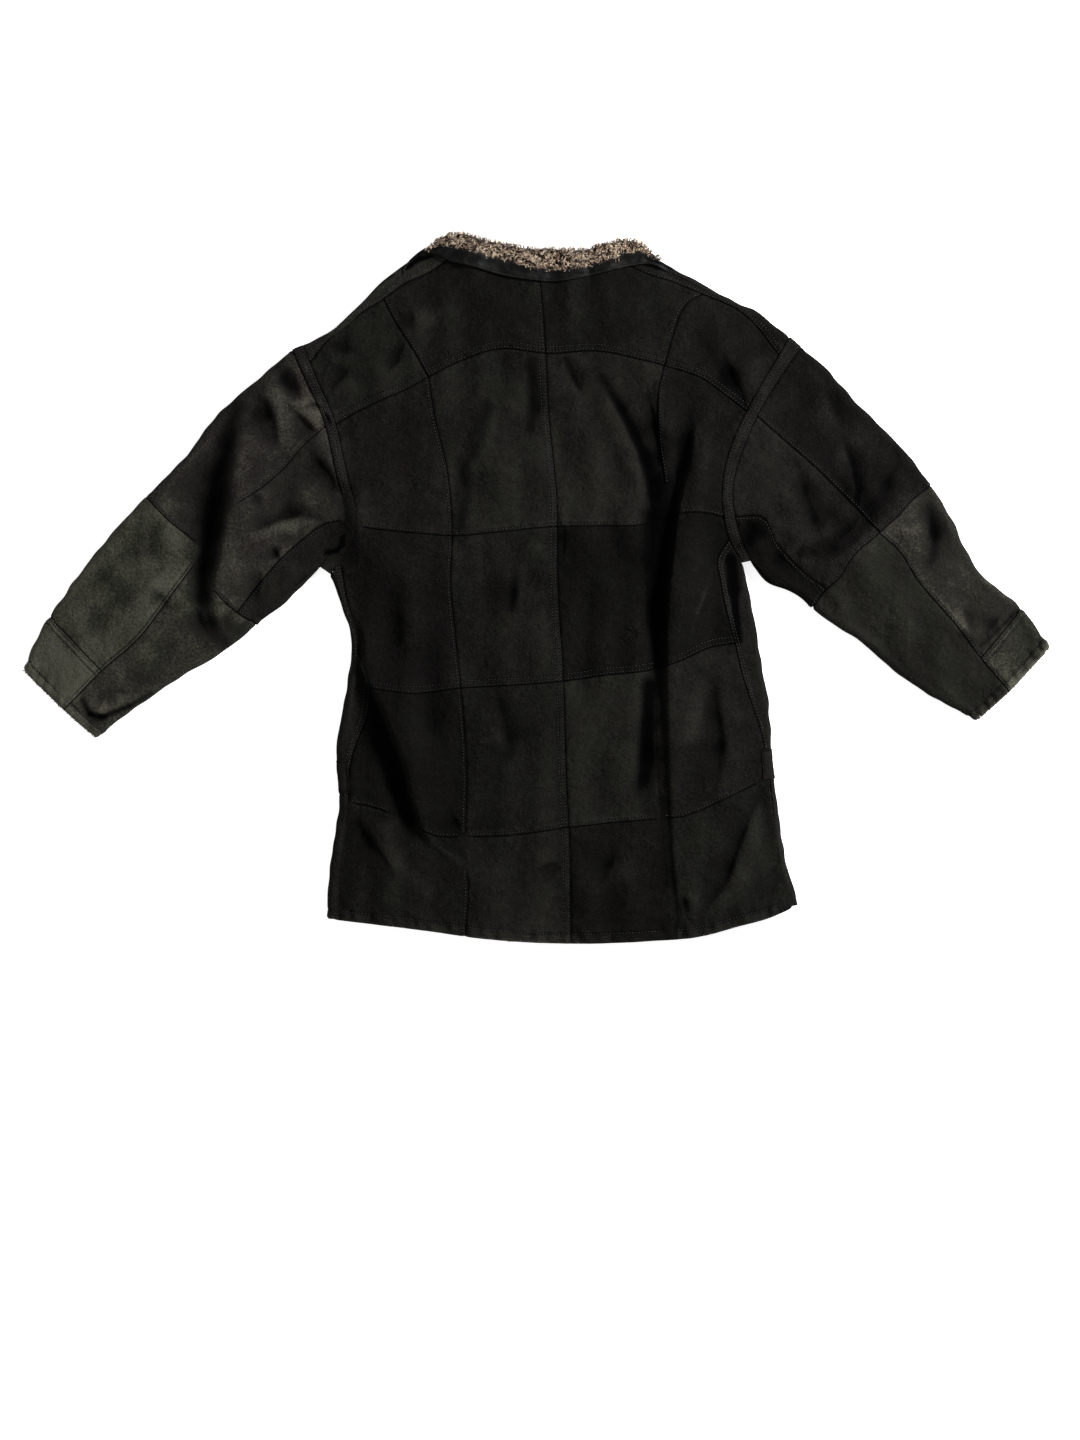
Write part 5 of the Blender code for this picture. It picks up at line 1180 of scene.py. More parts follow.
def plain_wool(colours):
    """Sheared wool on the inside of the pelts: dense, dull, with clumps about 4 mm wide."""
    material, tree, shader, place = blank("sheared_wool")
    clumps = add(tree, "TexVoronoi", "Distance", {"Vector": place, "Scale": 260.0})
    plug(tree, shader, {
        "Base Color": ramp(tree, clumps, [(0.0, colours.wool_tip), (0.8, colours.wool_root)]),
        "Normal": bumped(tree, clumps, 0.8, 0.0016, invert=True),
        "Roughness": 0.95, "Sheen Weight": 0.2,
    })
    return material


def thread(colours):
    """Bonded polyester thread, dyed nearly as dark as the skin."""
    material, tree, shader, place = blank("polyester_thread")
    stops = [(0.3, colours.thread_dark), (0.7, colours.thread)]
    shade = ramp(tree, noise(tree, place, 40.0, 2.0), stops)
    plug(tree, shader, {"Base Color": shade, "Roughness": 0.6})
    return material


def horn():
    """Dark horn, turned and polished: cloudy layers and a satin shine."""
    material, tree, shader, place = blank("buffalo_horn")
    layers = noise(tree, place, 140.0, 4.0, distortion=1.5)
    colour = ramp(tree, layers, [(0.35, "#17110d"), (0.7, "#4a382a")])
    plug(tree, shader, {"Base Color": colour, "Roughness": 0.32})
    return material


# -------------------- properties
def size(name, description, default, least=0.001):
    return bpy.props.FloatProperty(
        name=name, description=description, default=default, min=least, unit="LENGTH",
    )


def shade_of(name, description, default):
    return bpy.props.StringProperty(
        name=name, description=description + " (sRGB hex)", default=default,
    )


class CoatSizes(bpy.types.PropertyGroup):
    stitch_pitch: size("Stitch pitch", "From one stitch to the next", 0.0042, 0.002)
    stitch_length: size("Stitch length", "Thread that shows in one stitch", 0.0031)
    stitch_width: size("Thread width", "Thickness of the topstitching thread", 0.0009, 0.0003)
    cell: size("Cell", "Size of the grid's cells away from the seams", 0.0028)
    pile: size("Collar pile", "How far the fur stands off the collar's skin", 0.0062)
    lock_spacing: size("Lock spacing", "Between the roots of two locks of fur", 0.00155)


class CoatColours(bpy.types.PropertyGroup):
    # painted shade: the darkest stop, reached in creases, hollows and painted shadow
    nap_deep: shade_of("Deep nap", "Colour of the nap in the hollows", "#040404")
    nap: shade_of("Nap", "Colour of the nap", "#10100f")
    rubbed: shade_of("Rubbed nap", "Colour where the nap is rubbed", "#22221f")
    # the lightest stop: worn nap, which painted highlights also reach
    worn: shade_of("Worn nap", "Colour where the nap is worn away", "#484841")
    leather: shade_of("Edging", "Colour of the leather edging", "#060606")
    leather_worn: shade_of("Worn edging", "Colour of its scuffed places", "#302f2d")
    thread: shade_of("Thread", "Colour of the thread", "#1c1b1a")
    thread_dark: shade_of("Dark thread", "Colour of its darker stretches", "#141413")
    wool_tip: shade_of("Wool tips", "Colour of the inside wool's tips", "#8f887c")
    wool_root: shade_of("Wool roots", "Colour between the wool's clumps", "#4a453e")


FUR_STOPS = [
    (0.0, "#160c06"), (0.3, "#3d2818"), (0.52, "#8a6646"), (0.76, "#cdb08e"), (1.0, "#f2e2ca"),
]
WOOL_STOPS = [(0.0, "#4d473f"), (0.5, "#7d766b"), (1.0, "#b5aea1")]
COOL_TINT = (1.0, 1.01, 0.92, 1.0)
WARM_TINT = (1.07, 0.95, 1.0, 1.0)
SHADOW = (0.0012, 0.0012, 0.0014, 1.0)  # the nap where no light gets to it
MATERIALS = {}
MAKERS = {
    "nubuck": nubuck, "leather": smooth_leather, "wool": plain_wool, "thread": thread,
    "horn": lambda colours: horn(),
    "fur": lambda colours: fur("curly_fur", FUR_STOPS, 0.25),
    "tufts": lambda colours: fur("wool_tufts", WOOL_STOPS, 0.3),
}


def material(key):
    """Each material is made once, when a piece first asks for it."""
    if key not in MATERIALS:
        MATERIALS[key] = MAKERS[key](bpy.context.scene.coat_colours)
    return MATERIALS[key]


def pelt(name, parts, sides, group, **options):
    """One pelt of the coat: its shell, its material, its stitches."""
    shell = Shell(name, parts, sides, **options)
    make_shell(shell, ("nubuck", "wool"))
    sew_shell(group, shell)


def cell():
    return bpy.context.scene.coat_sizes.cell / MM


# -------------------- the back
CROSS_SEAMS = ("yoke_seam", "chest_seam", "waist_seam", "hip_seam", "hem")


def back_corners():
    """Where the seams of the back cross: a row of five points for each cross seam."""
    rows = {}
    for seam in CROSS_SEAMS:
        side = "strap_body_" if seam in ("yoke_seam", "chest_seam") else "side_seam_"
        lines = (side + "left", "column_left", "centre_back", "column_right", side + "right")
        rows[seam] = [meeting(seam, line) for line in lines]
    return rows


CORNER = back_corners()


def back_side(side, upper, lower):
    """The outer edge of the back between two cross seams: the armhole, then the side seam."""
    k = 0 if side == "left" else -1
    top, bottom = CORNER[upper][k], CORNER[lower][k]
    arm, seam = "strap_body_" + side, "side_seam_" + side
    if upper == "chest_seam":
        pit = meeting(arm, seam)
        return joined((arm, top, pit), (seam, pit, bottom))
    return joined((arm if upper == "yoke_seam" else seam, top, bottom))


def grid_between(first, last, left, right):
    """A grid inside four lines with cells of the chosen size, finer along its seams."""
    u, v = spaced(longest(first, last), cell()), spaced(longest(left, right), cell())
    return filled(first, last, left, right, u, v)


class COAT_OT_back(bpy.types.Operator):
    """Sixteen pelts of the back and the four yokes above them"""

    bl_idname = "coat.back"
    bl_label = "Back and yokes"

    def execute(self, context):
        columns = (
            ("outer_left", "under", "fell"), ("inner_left", "under", "lap"),
            ("inner_right", "under", "under"), ("outer_right", "fell", "under"),
        )
        for upper, lower in zip(CROSS_SEAMS, CROSS_SEAMS[1:]):
            part = lower.removesuffix("_seam")
            last = {"hem": "hem", "waist_seam": "lap"}.get(lower, "fell")
            for k, (column, left_kind, right_kind) in enumerate(columns):
                if column == "outer_right" and part != "chest":
                    left_kind = None  # this seam lies at the foot of the fold
                grid = grid_between(
                    joined((upper, *CORNER[upper][k:k + 2])),
                    joined((lower, *CORNER[lower][k:k + 2])),
                    self.upright(k, upper, lower), self.upright(k + 1, upper, lower),
                )
                kinds = ("under", last, left_kind, right_kind)
                pelt("back_" + column + "_" + part, on_top(grid), kinds, "back_stitches")
        for side in SIDES:
            self.yokes(side)
        return {"FINISHED"}

    def upright(self, k, upper, lower):
        """One of the five lines down the back, between two cross seams."""
        if k in (0, 4):
            return back_side(SIDES[k // 4], upper, lower)
        name = ("column_left", "centre_back", "column_right")[k - 1]
        return joined((name, CORNER[upper][k], CORNER[lower][k]))

    def yokes(self, side):
        here = 0 if side == "left" else -1
        column = CORNER["yoke_seam"][1 if side == "left" else 3]
        middle, outside = CORNER["yoke_seam"][2], CORNER["yoke_seam"][here]
        shoulder, slant = "shoulder_seam_" + side, "slant_" + side
        slant_top, neck_end = meeting(slant, shoulder), meeting("neck_seam", shoulder)
        neck_middle = meeting("neck_seam", "centre_back")
        slanted = joined((slant, slant_top, column))
        centre = grid_between(
            joined((shoulder, slant_top, neck_end), ("neck_seam", neck_end, neck_middle)),
            joined(("yoke_seam", column, middle)), slanted,
            joined(("centre_back", neck_middle, middle)),
        )
        kinds = ("under", "lap", "fell", "fell" if side == "left" else "under")
        pelt("yoke_centre_" + side, on_top(centre), kinds, "back_stitches")
        arm_top = meeting("strap_body_" + side, shoulder)
        outer = grid_between(
            joined((shoulder, slant_top, arm_top)), joined(("yoke_seam", column, outside)),
            slanted, joined(("strap_body_" + side, arm_top, outside)),
        )
        kinds = ("under", "lap", "under", "under")
        pelt("yoke_outer_" + side, on_top(outer), kinds, "back_stitches")


class BothSides:
    """An operator whose work is done once for each side."""

    def execute(self, context):
        for side in SIDES:
            self.make(side)
        return {"FINISHED"}


class COAT_OT_shoulders(BothSides, bpy.types.Operator):
    """The shoulder bands, which come over the shoulder from the front"""

    bl_idname = "coat.shoulders"
    bl_label = "Shoulder bands"

    def make(self, side):
        edge_name, shoulder = "upper_edge_" + side, "shoulder_seam_" + side
        arm = "strap_body_" + side
        neck_end, arm_top = meeting("neck_seam", shoulder), meeting(arm, shoulder)
        tip = CURVES[edge_name][0]
        edge = Edge(edge_name, tip, meeting(arm, edge_name))
        seam = joined((shoulder, neck_end, arm_top))
        v = spaced(length_of(seam)[-1], cell())
        inner = edge.inner(v)
        first = np.array([neck_end, *BAND_ENDS[side], inner[0]])
        front = "front_shoulder_" + side
        start, end = CURVES[front][0], meeting(front, arm)
        parts = turned_over(
            edge, v,
            (first, joined((arm, arm_top, inner[-1])), seam,
             spaced(60.0, STRIP_CELL, True, False)),
            (np.array([inner[0], start]), joined((arm, inner[-1], end)),
             joined((front, start, end)), np.linspace(0, 1, 10)),
        )
        kinds = ("free", "under", "lap", "under")
        pelt("shoulder_band_" + side, parts, kinds, "shoulder_stitches")


# -------------------- the fronts
def centre_front(side, y):
    """Where a front leaves the ground: the left one's edge, the right one's step."""
    return np.stack([np.full_like(y, FRONT_END_X[side]), y], axis=1)


def front_neck_end(side):
    """Where a front's free edge meets the neckline."""
    neck = CURVES["front_neck"]
    return neck[np.argmin(np.abs(neck[:, 0] - FRONT_END_X[side]))]


def over_the_left_front(y):
    """The right front's lap: up from the ground over the left front's edge."""
    lap = np.array(LAP)
    grid = np.stack([np.stack([np.full_like(y, x), y], axis=1) for x in lap[:, 0]], axis=1)
    points, out, layer = underneath(grid)
    points[..., 2] = lap[None, :, 1]
    out[:] = unit(np.stack([lap[:, 2], np.zeros(len(lap)), lap[:, 3]], axis=1))[None]
    return points, out, layer + 0.5


class COAT_OT_fronts(BothSides, bpy.types.Operator):
    """Both fronts, each a chest piece and a long lower piece, and the pocket welts"""

    bl_idname = "coat.fronts"
    bl_label = "Fronts and pocket welts"

    def make(self, side):
        self.front(side)
        self.welt(side)

    def front(self, side):
        k = 0 if side == "left" else -1
        seam, edge_name = "side_seam_" + side, "body_edge_" + side
        arm_line = "strap_body_" + side
        arm, foot, hem = meeting(arm_line, seam), CURVES[edge_name][0], CORNER["hem"][k]
        edge = Edge(edge_name, foot, CURVES[edge_name][-1])
        seam_line = joined((seam, arm, hem))
        v = spaced(length_of(seam_line)[-1], FRONT_CELLS[0])
        inner = edge.inner(v)
        top = filled(
            joined((arm_line, arm, inner[0])), np.array([hem, inner[-1]]), seam_line, inner,
            spaced(16.0, STRIP_CELL, True, False), v,
        )
        top[:, -1] = inner
        middle_y = inner[:, 1].copy()
        middle_y[-1] = HEM_MIDDLE_Y
        middle = centre_front(side, middle_y)
        flat = filled(
            np.array([inner[0], middle[0]]), joined(("hem", inner[-1], middle[-1])), inner,
            middle, spaced(260.0, FRONT_CELLS[2], False, True), v,
        )
        flat[:, 0], flat[:, -1] = inner, middle
        parts = [on_top(top), rolled(edge, v), underneath(flat)]
        self.closed("front_", side, parts, middle_y, ("under", "hem", "lap"))
        shoulder = "front_shoulder_" + side
        neck_end = front_neck_end(side)
        shoulder_end, shoulder_start = meeting(shoulder, arm_line), CURVES[shoulder][0]
        v = spaced(abs(neck_end[1] - middle_y[0]), FRONT_CELLS[1])
        top_y = CURVES["front_neck"][:, 1].min() + 1
        chest_y = top_y + v * (middle_y[0] - top_y)
        centre = centre_front(side, chest_y)
        centre[0] = neck_end
        chest = filled(
            joined(
                (shoulder, shoulder_end, shoulder_start),
                ("front_neck", shoulder_start, neck_end),
            ),
            np.array([inner[0], middle[0]]), joined((arm_line, shoulder_end, inner[0])), centre,
            spaced(300.0, FRONT_CELLS[1]), v,
        )
        chest[:, -1] = centre
        kinds = ("under", "lap", "under")
        self.closed("front_chest_", side, [underneath(chest)], centre[:, 1], kinds)

    def closed(self, name, side, parts, y, kinds):
        """Ends a pelt at the middle: the left one in a free edge, the right in its lap."""
        if side == "right":
            parts.append(over_the_left_front(y))
        kinds = (*kinds, "free" if side == "left" else None)
        pelt(name + side, beside(*parts), kinds, "front_stitches")

    def welt(self, side):
        name = "body_edge_" + side
        line = CURVES[name]
        ends = [line[np.argmin(np.abs(line[:, 1] - y))] for y in WELTS[side]]
        edge = Edge(name, *ends)
        v = np.linspace(0, 1, 28)
        rows, out = edge.at(v)
        inner = rows - EDGE_RADIUS * out
        share = np.linspace(0, 1, 6)[:-1]
        grid = inner[:, None] - (WELT_WIDTH * (1 - share))[None, :, None] * out[:, None]
        direction = swept(out, np.radians(np.linspace(0, 75, 8)))
        centre = np.column_stack([inner, np.full(len(inner), EDGE_RADIUS)])
        edge_points = centre[:, None] + EDGE_RADIUS * direction
        turned = (edge_points, direction, np.zeros(direction.shape[:2]))
        points, out, layer = beside(on_top(grid), turned)
        points = points + out * (WELT_THICKNESS - WELT_SUNK)
        parts = (points, out, np.full(layer.shape, RAISED_LAYER))
        shell = Shell("pocket_welt_" + side, parts, ("free",) * 4, wall=WELT_THICKNESS)
        make_shell(shell, ("nubuck", "nubuck"), coarse=2)


# -------------------- the sleeves
class COAT_OT_sleeves(BothSides, bpy.types.Operator):
    """Six pelts for each sleeve: top, forearm, cuff, back, under sleeve and its forearm"""

    bl_idname = "coat.sleeves"
    bl_label = "Sleeves"

    def lines(self, side):
        """The names of a sleeve's lines: the cross seams from the armhole down, the
        seams along it, and its two edges."""
        names = ("strap_sleeve", "elbow", "cuff_seam", "cuff", "back_seam", "under_seam",
                 "front_seam", "upper_edge", "lower_edge")
        return [name + "_" + side for name in names]

    def points(self, side):
        arm, elbow, cuff, wrist, back, under, front, upper, lower = self.lines(side)
        point = {
            "arm_top": meeting(arm, upper), "arm_back": meeting(arm, back),
            "arm_under": meeting(arm, under), "pit": CURVES[lower][0],
            "elbow_top": meeting(elbow, upper), "elbow_back": meeting(elbow, back),
            "elbow_under": meeting(elbow, under), "elbow_low": meeting(elbow, lower),
            "cuff_top": meeting(cuff, upper), "cuff_back": meeting(cuff, back),
            "wrist_top": CURVES[upper][-1], "wrist_back": meeting(wrist, back),
            "wrist_low": CURVES[lower][-1], "arm_front": meeting(arm, front),
            "wrist_front": meeting(wrist, front),
        }
        seam = CURVES[front]
        reach = [np.linalg.norm(seam - point[k], axis=1) for k in ("elbow_top", "elbow_low")]
        point["elbow_front"] = seam[np.argmin(reach[0] + reach[1])]
        point["cuff_front"] = nearest(front, point["cuff_back"])
        return point

    def make(self, side):
        arm, elbow, cuff, wrist, back, under, front, upper, lower = self.lines(side)
        group = "sleeve_stitches_" + side
        point = self.points(side)

        def run(*stretches):
            """Stretches (line, start, end) joined; a start or end may be a name."""
            return joined(*(
                [name, *(point[p] if isinstance(p, str) else p for p in ends)]
                for name, *ends in stretches
            ))

        stages = (
            ("top_sleeve_", "arm", "elbow", arm, elbow, ("under", "fell", "fell", "fell")),
            ("forearm_", "elbow", "cuff", elbow, cuff, ("under", "under", "fell", "fell")),
            ("cuff_", "cuff", "wrist", cuff, wrist, ("lap", "hem", "fell", "fell")),
        )
        hidden = np.linspace(0, 1, 16)
        for name, up, down, first, last, kinds in stages:
            edge = Edge(upper, point[up + "_top"], point[down + "_top"])
            b0, b1, f0, f1 = up + "_back", down + "_back", up + "_front", down + "_front"
            seam = run((back, b0, b1))
            v = shares_down(seam, edge)
            start, end = edge.inner(v)[[0, -1]]
            begin, finish = run((first, b0, start)), run((last, b1, end))
            u = spaced(longest(begin, finish), cell(), True, False)
            top = (begin, finish, seam, u)
            begin = run((arm, start, f0)) if up == "arm" else np.array([start, point[f0]])
            finish = run((wrist, end, f1)) if down == "wrist" else np.array([end, point[f1]])
            beneath = (begin, finish, run((front, f0, f1)), hidden)
            pelt(name + side, turned_over(edge, v, top, beneath), kinds, group)
        grid = grid_between(
            run((arm, "arm_back", "arm_under")), run((elbow, "elbow_back", "elbow_under")),
            run((back, "arm_back", "elbow_back")), run((under, "arm_under", "elbow_under")),
        )
        pelt("back_sleeve_" + side, on_top(grid), ("under", "fell", "under", "under"), group)
        edge = Edge(lower, point["pit"], point["elbow_low"])
        seam = run((under, "arm_under", "elbow_under"))
        v = shares_down(seam, edge)
        start, end = edge.inner(v)[[0, -1]]
        parts = turned_over(
            edge, v,
            (run((arm, "arm_under", start)), run((elbow, "elbow_under", end)), seam,
             spaced(50.0, cell(), True, False)),
            (run((arm, start, "arm_front")), np.array([end, point["elbow_front"]]),
             run((front, "arm_front", "elbow_front")), hidden),
        )
        pelt("under_sleeve_" + side, parts, ("under", "fell", "fell", "under"), group)
        edge = Edge(lower, point["elbow_low"], point["wrist_low"])
        seam = run((back, "elbow_back", "cuff_back"), (back, "cuff_back", "wrist_back"))
        v = shares_down(seam, edge)
        start, end = edge.inner(v)[[0, -1]]
        parts = turned_over(
            edge, v,
            (run((elbow, "elbow_back", "elbow_under"), (elbow, "elbow_under", start)),
             run((wrist, "wrist_back", end)), seam, spaced(110.0, cell(), True, False)),
            (np.array([start, point["elbow_front"]]), run((wrist, end, "wrist_front")),
             run((front, "elbow_front", "cuff_front"), (front, "cuff_front", "wrist_front")),
             hidden),
        )
        pelt("under_forearm_" + side, parts, ("under", "hem", "under", "under"), group)


class COAT_OT_straps(BothSides, bpy.types.Operator):
    """The lapped straps round the armholes, raised above the skins on both sides"""

    bl_idname = "coat.straps"
    bl_label = "Armhole straps"

    def make(self, side):
        body, sleeve = "strap_body_" + side, "strap_sleeve_" + side
        upper = "upper_edge_" + side
        edge = Edge(upper, meeting(body, upper), meeting(sleeve, upper))
        u = np.array([0, 0.06, 0.14, 0.24, 0.32, 0.42, 0.5, 0.58, 0.68, 0.76, 0.86, 0.94, 1])
        inner = edge.inner(u)
        foot = np.array([CURVES[body][-1], CURVES[sleeve][-1]])
        sides = [
            joined((name, end, inner[k]))
            for name, end, k in ((body, foot[0], 0), (sleeve, foot[1], -1))
        ]
        v = spaced(length_of(sides[0])[-1], 2.2)
        top = on_top(filled(foot, inner, *sides, u, v))
        turn = [np.swapaxes(part, 0, 1) for part in rolled(edge, u)]
        under = underneath(
            filled(inner, foot, sides[0][::-1], sides[1][::-1], u, np.linspace(0, 1, 60))
        )
        points, out, layer = beside(top, turn, under, axis=0)
        fade = soft_step((points[..., 1] - (95 if side == "left" else 35)) / 55)
        raised = STRAP_RAISE * layer * fade
        pelt(
            "armhole_strap_" + side, (points, out, layer), (None, None, "strap", "strap"),
            "strap_stitches_" + side, raised=raised, gap=0.35,
        )


# -------------------- the collar
def equal(line, cells):
    """A line divided into equal cells."""
    return divided(line, np.linspace(0, 1, cells + 1))


def between(first, last, shares):
    """A grid from one line to another, its columns at shares of the way."""
    mix = np.asarray(shares)[None, :, None]
    return first[:, None] * (1 - mix) + last[:, None] * mix


def neck_line(cells):
    """The line the collar's stand ends at, just inside the neck seam, left to right."""
    ends = [meeting("neck_seam", "shoulder_seam_" + side) for side in SIDES]
    seam = joined(("neck_seam", ends[0], ends[1]))
    left, right = ([COLLAR_ENDS[side]["stand"]] for side in SIDES)
    return equal(np.concatenate([left, seam, right]), cells) + (0.0, NECK_ROOM)


def collar_surface(cells):
    """The collar's fur as a grid: the fall from its free edge up, the roll as a half
    circle about the fold line, and the stand back down to the neck seam."""
    ends = [nearest("collar_fur_edge", COLLAR_ENDS[side]["fur"]) for side in SIDES]
    fur_edge = equal(stretch("collar_fur_edge", *ends), cells)
    top_line = equal(CURVES["collar_top"], cells)
    radius = (FALL_RISE + STAND_DROP) / 2
    out = -right_of(np.gradient(top_line, axis=0))
    inner = top_line - radius * out
    fall = between(fur_edge, inner, np.linspace(0, 1, 7))
    fade = np.linspace(0, 1, 6)[1:]
    stand = between(inner, neck_line(cells), fade)
    level = RELIEF.height(fall)
    fall_points = np.dstack([fall, level + FALL_RISE])
    direction = swept(out, np.linspace(0, math.pi, 11)[1:])
    centre = np.concatenate([inner, level[:, -1:] + FALL_RISE - radius], axis=1)
    roll_points = centre[:, None] + radius * direction
    stand_level = RELIEF.height(stand)
    stand_z = (level[:, -1:] * (1 - fade) + stand_level * fade) - STAND_DROP
    stand_points = np.dstack([stand, stand_z])
    return beside(*(
        (points, out, np.full(points.shape[:2], RAISED_LAYER)) for points, out in (
            (fall_points, facing(fall.shape, 1.0)), (roll_points, direction),
            (stand_points, facing(stand.shape, -1.0)),
        )
    ))


def locks(name, roots, out, lean, sizes, seed, stuff, clumps=0.0):
    """Curly locks as one mesh: each a tapered tube of three sides and five rings whose
    centre line rises from its root, leans and coils once; tip runs from 0 to 1 along it.
    sizes are (length, thickness, curl) in mm; clumps, -1 to 1, makes some long and light
    and others short and dark; the darkening of the short ones is painted shade deep in the pile."""
    random = np.random.default_rng(seed)
    count = len(roots)
    length = sizes[0] * random.uniform(0.7, 1.25, count) * (1 + 0.2 * clumps)
    thick = sizes[1] * random.uniform(0.7, 1.3, count)
    side = unit(np.cross(out, lean))
    lean = np.cross(side, out)
    phase = random.uniform(0, 2 * math.pi, count)
    swing = random.normal(0, 0.45, (count, 2))
    rings, tips = [], np.array([0.0, 0.28, 0.55, 0.8, 1.0])
    width = np.array([1.0, 1.05, 0.95, 0.7, 0.25])
    centres = []
    for t in tips:
        rise = length * (t - 0.32 * t * t)
        curl, coil = sizes[2] * t, phase + 4.4 * t
        ahead = length * 0.4 * t * t * (1 + swing[:, 0]) + curl * np.cos(coil)
        aside = length * 0.5 * t * swing[:, 1] + curl * np.sin(coil)
        centres.append(
            roots + out * rise[:, None] + lean * ahead[:, None] + side * aside[:, None]
        )
    for k, centre in enumerate(centres):
        following = unit(centres[min(k + 1, 4)] - centres[max(k - 1, 0)])
        a = unit(np.cross(following, side))
        b = np.cross(following, a)
        for angle in 2 * math.pi * np.arange(3) / 3:
            away = a * math.cos(angle) + b * math.sin(angle)
            rings.append(centre + away * (thick * width[k])[:, None])
    points = np.stack(rings, axis=1).reshape(-1, 3)
    ring = np.array([[j, (j + 1) % 3, (j + 1) % 3 + 3, j + 3] for j in range(3)])
    tube = np.concatenate([ring + 3 * k for k in range(4)])
    offset = 15 * np.arange(count)[:, None, None]
    faces = (tube[None] + offset).reshape(-1, 4).tolist()
    caps = np.array([[2, 1, 0], [12, 13, 14]])
    faces += (caps[None] + offset).reshape(-1, 3).tolist()
    tip = np.tile(np.repeat(tips, 3), count)
    # lock colour: random, plus painted shade that darkens the short clumps
    lock = np.repeat(np.clip(random.uniform(-0.24, 1.04, count) + 0.35 * clumps, 0, 1), 15)
    made = mesh_object(name, points, faces, [("tip", tip), ("lock", lock)], smooth_below=0)
    made.data.materials.append(material(stuff))
    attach(made, "root")
    return made


def scattered(points, out, spacing, seed):
    """Random places on a grid, about one for each square of the spacing: cells are
    drawn with a chance that follows their area, then a point inside the cell."""
    random = np.random.default_rng(seed)
    a = points[1:, :-1] - points[:-1, :-1]
    b = points[:-1, 1:] - points[:-1, :-1]
    area = np.linalg.norm(np.cross(a, b), axis=2)
    count = int(area.sum() / spacing**2)
    chosen = random.choice(area.size, count, p=(area / area.sum()).ravel())
    i, j = np.unravel_index(chosen, area.shape)
    s, t = random.uniform(0, 1, (2, count, 1))
    place, up = (
        bilinear(s, t, grid[i, j], grid[i + 1, j], grid[i, j + 1], grid[i + 1, j + 1])
        for grid in (points, out)
    )
    return place, unit(up)


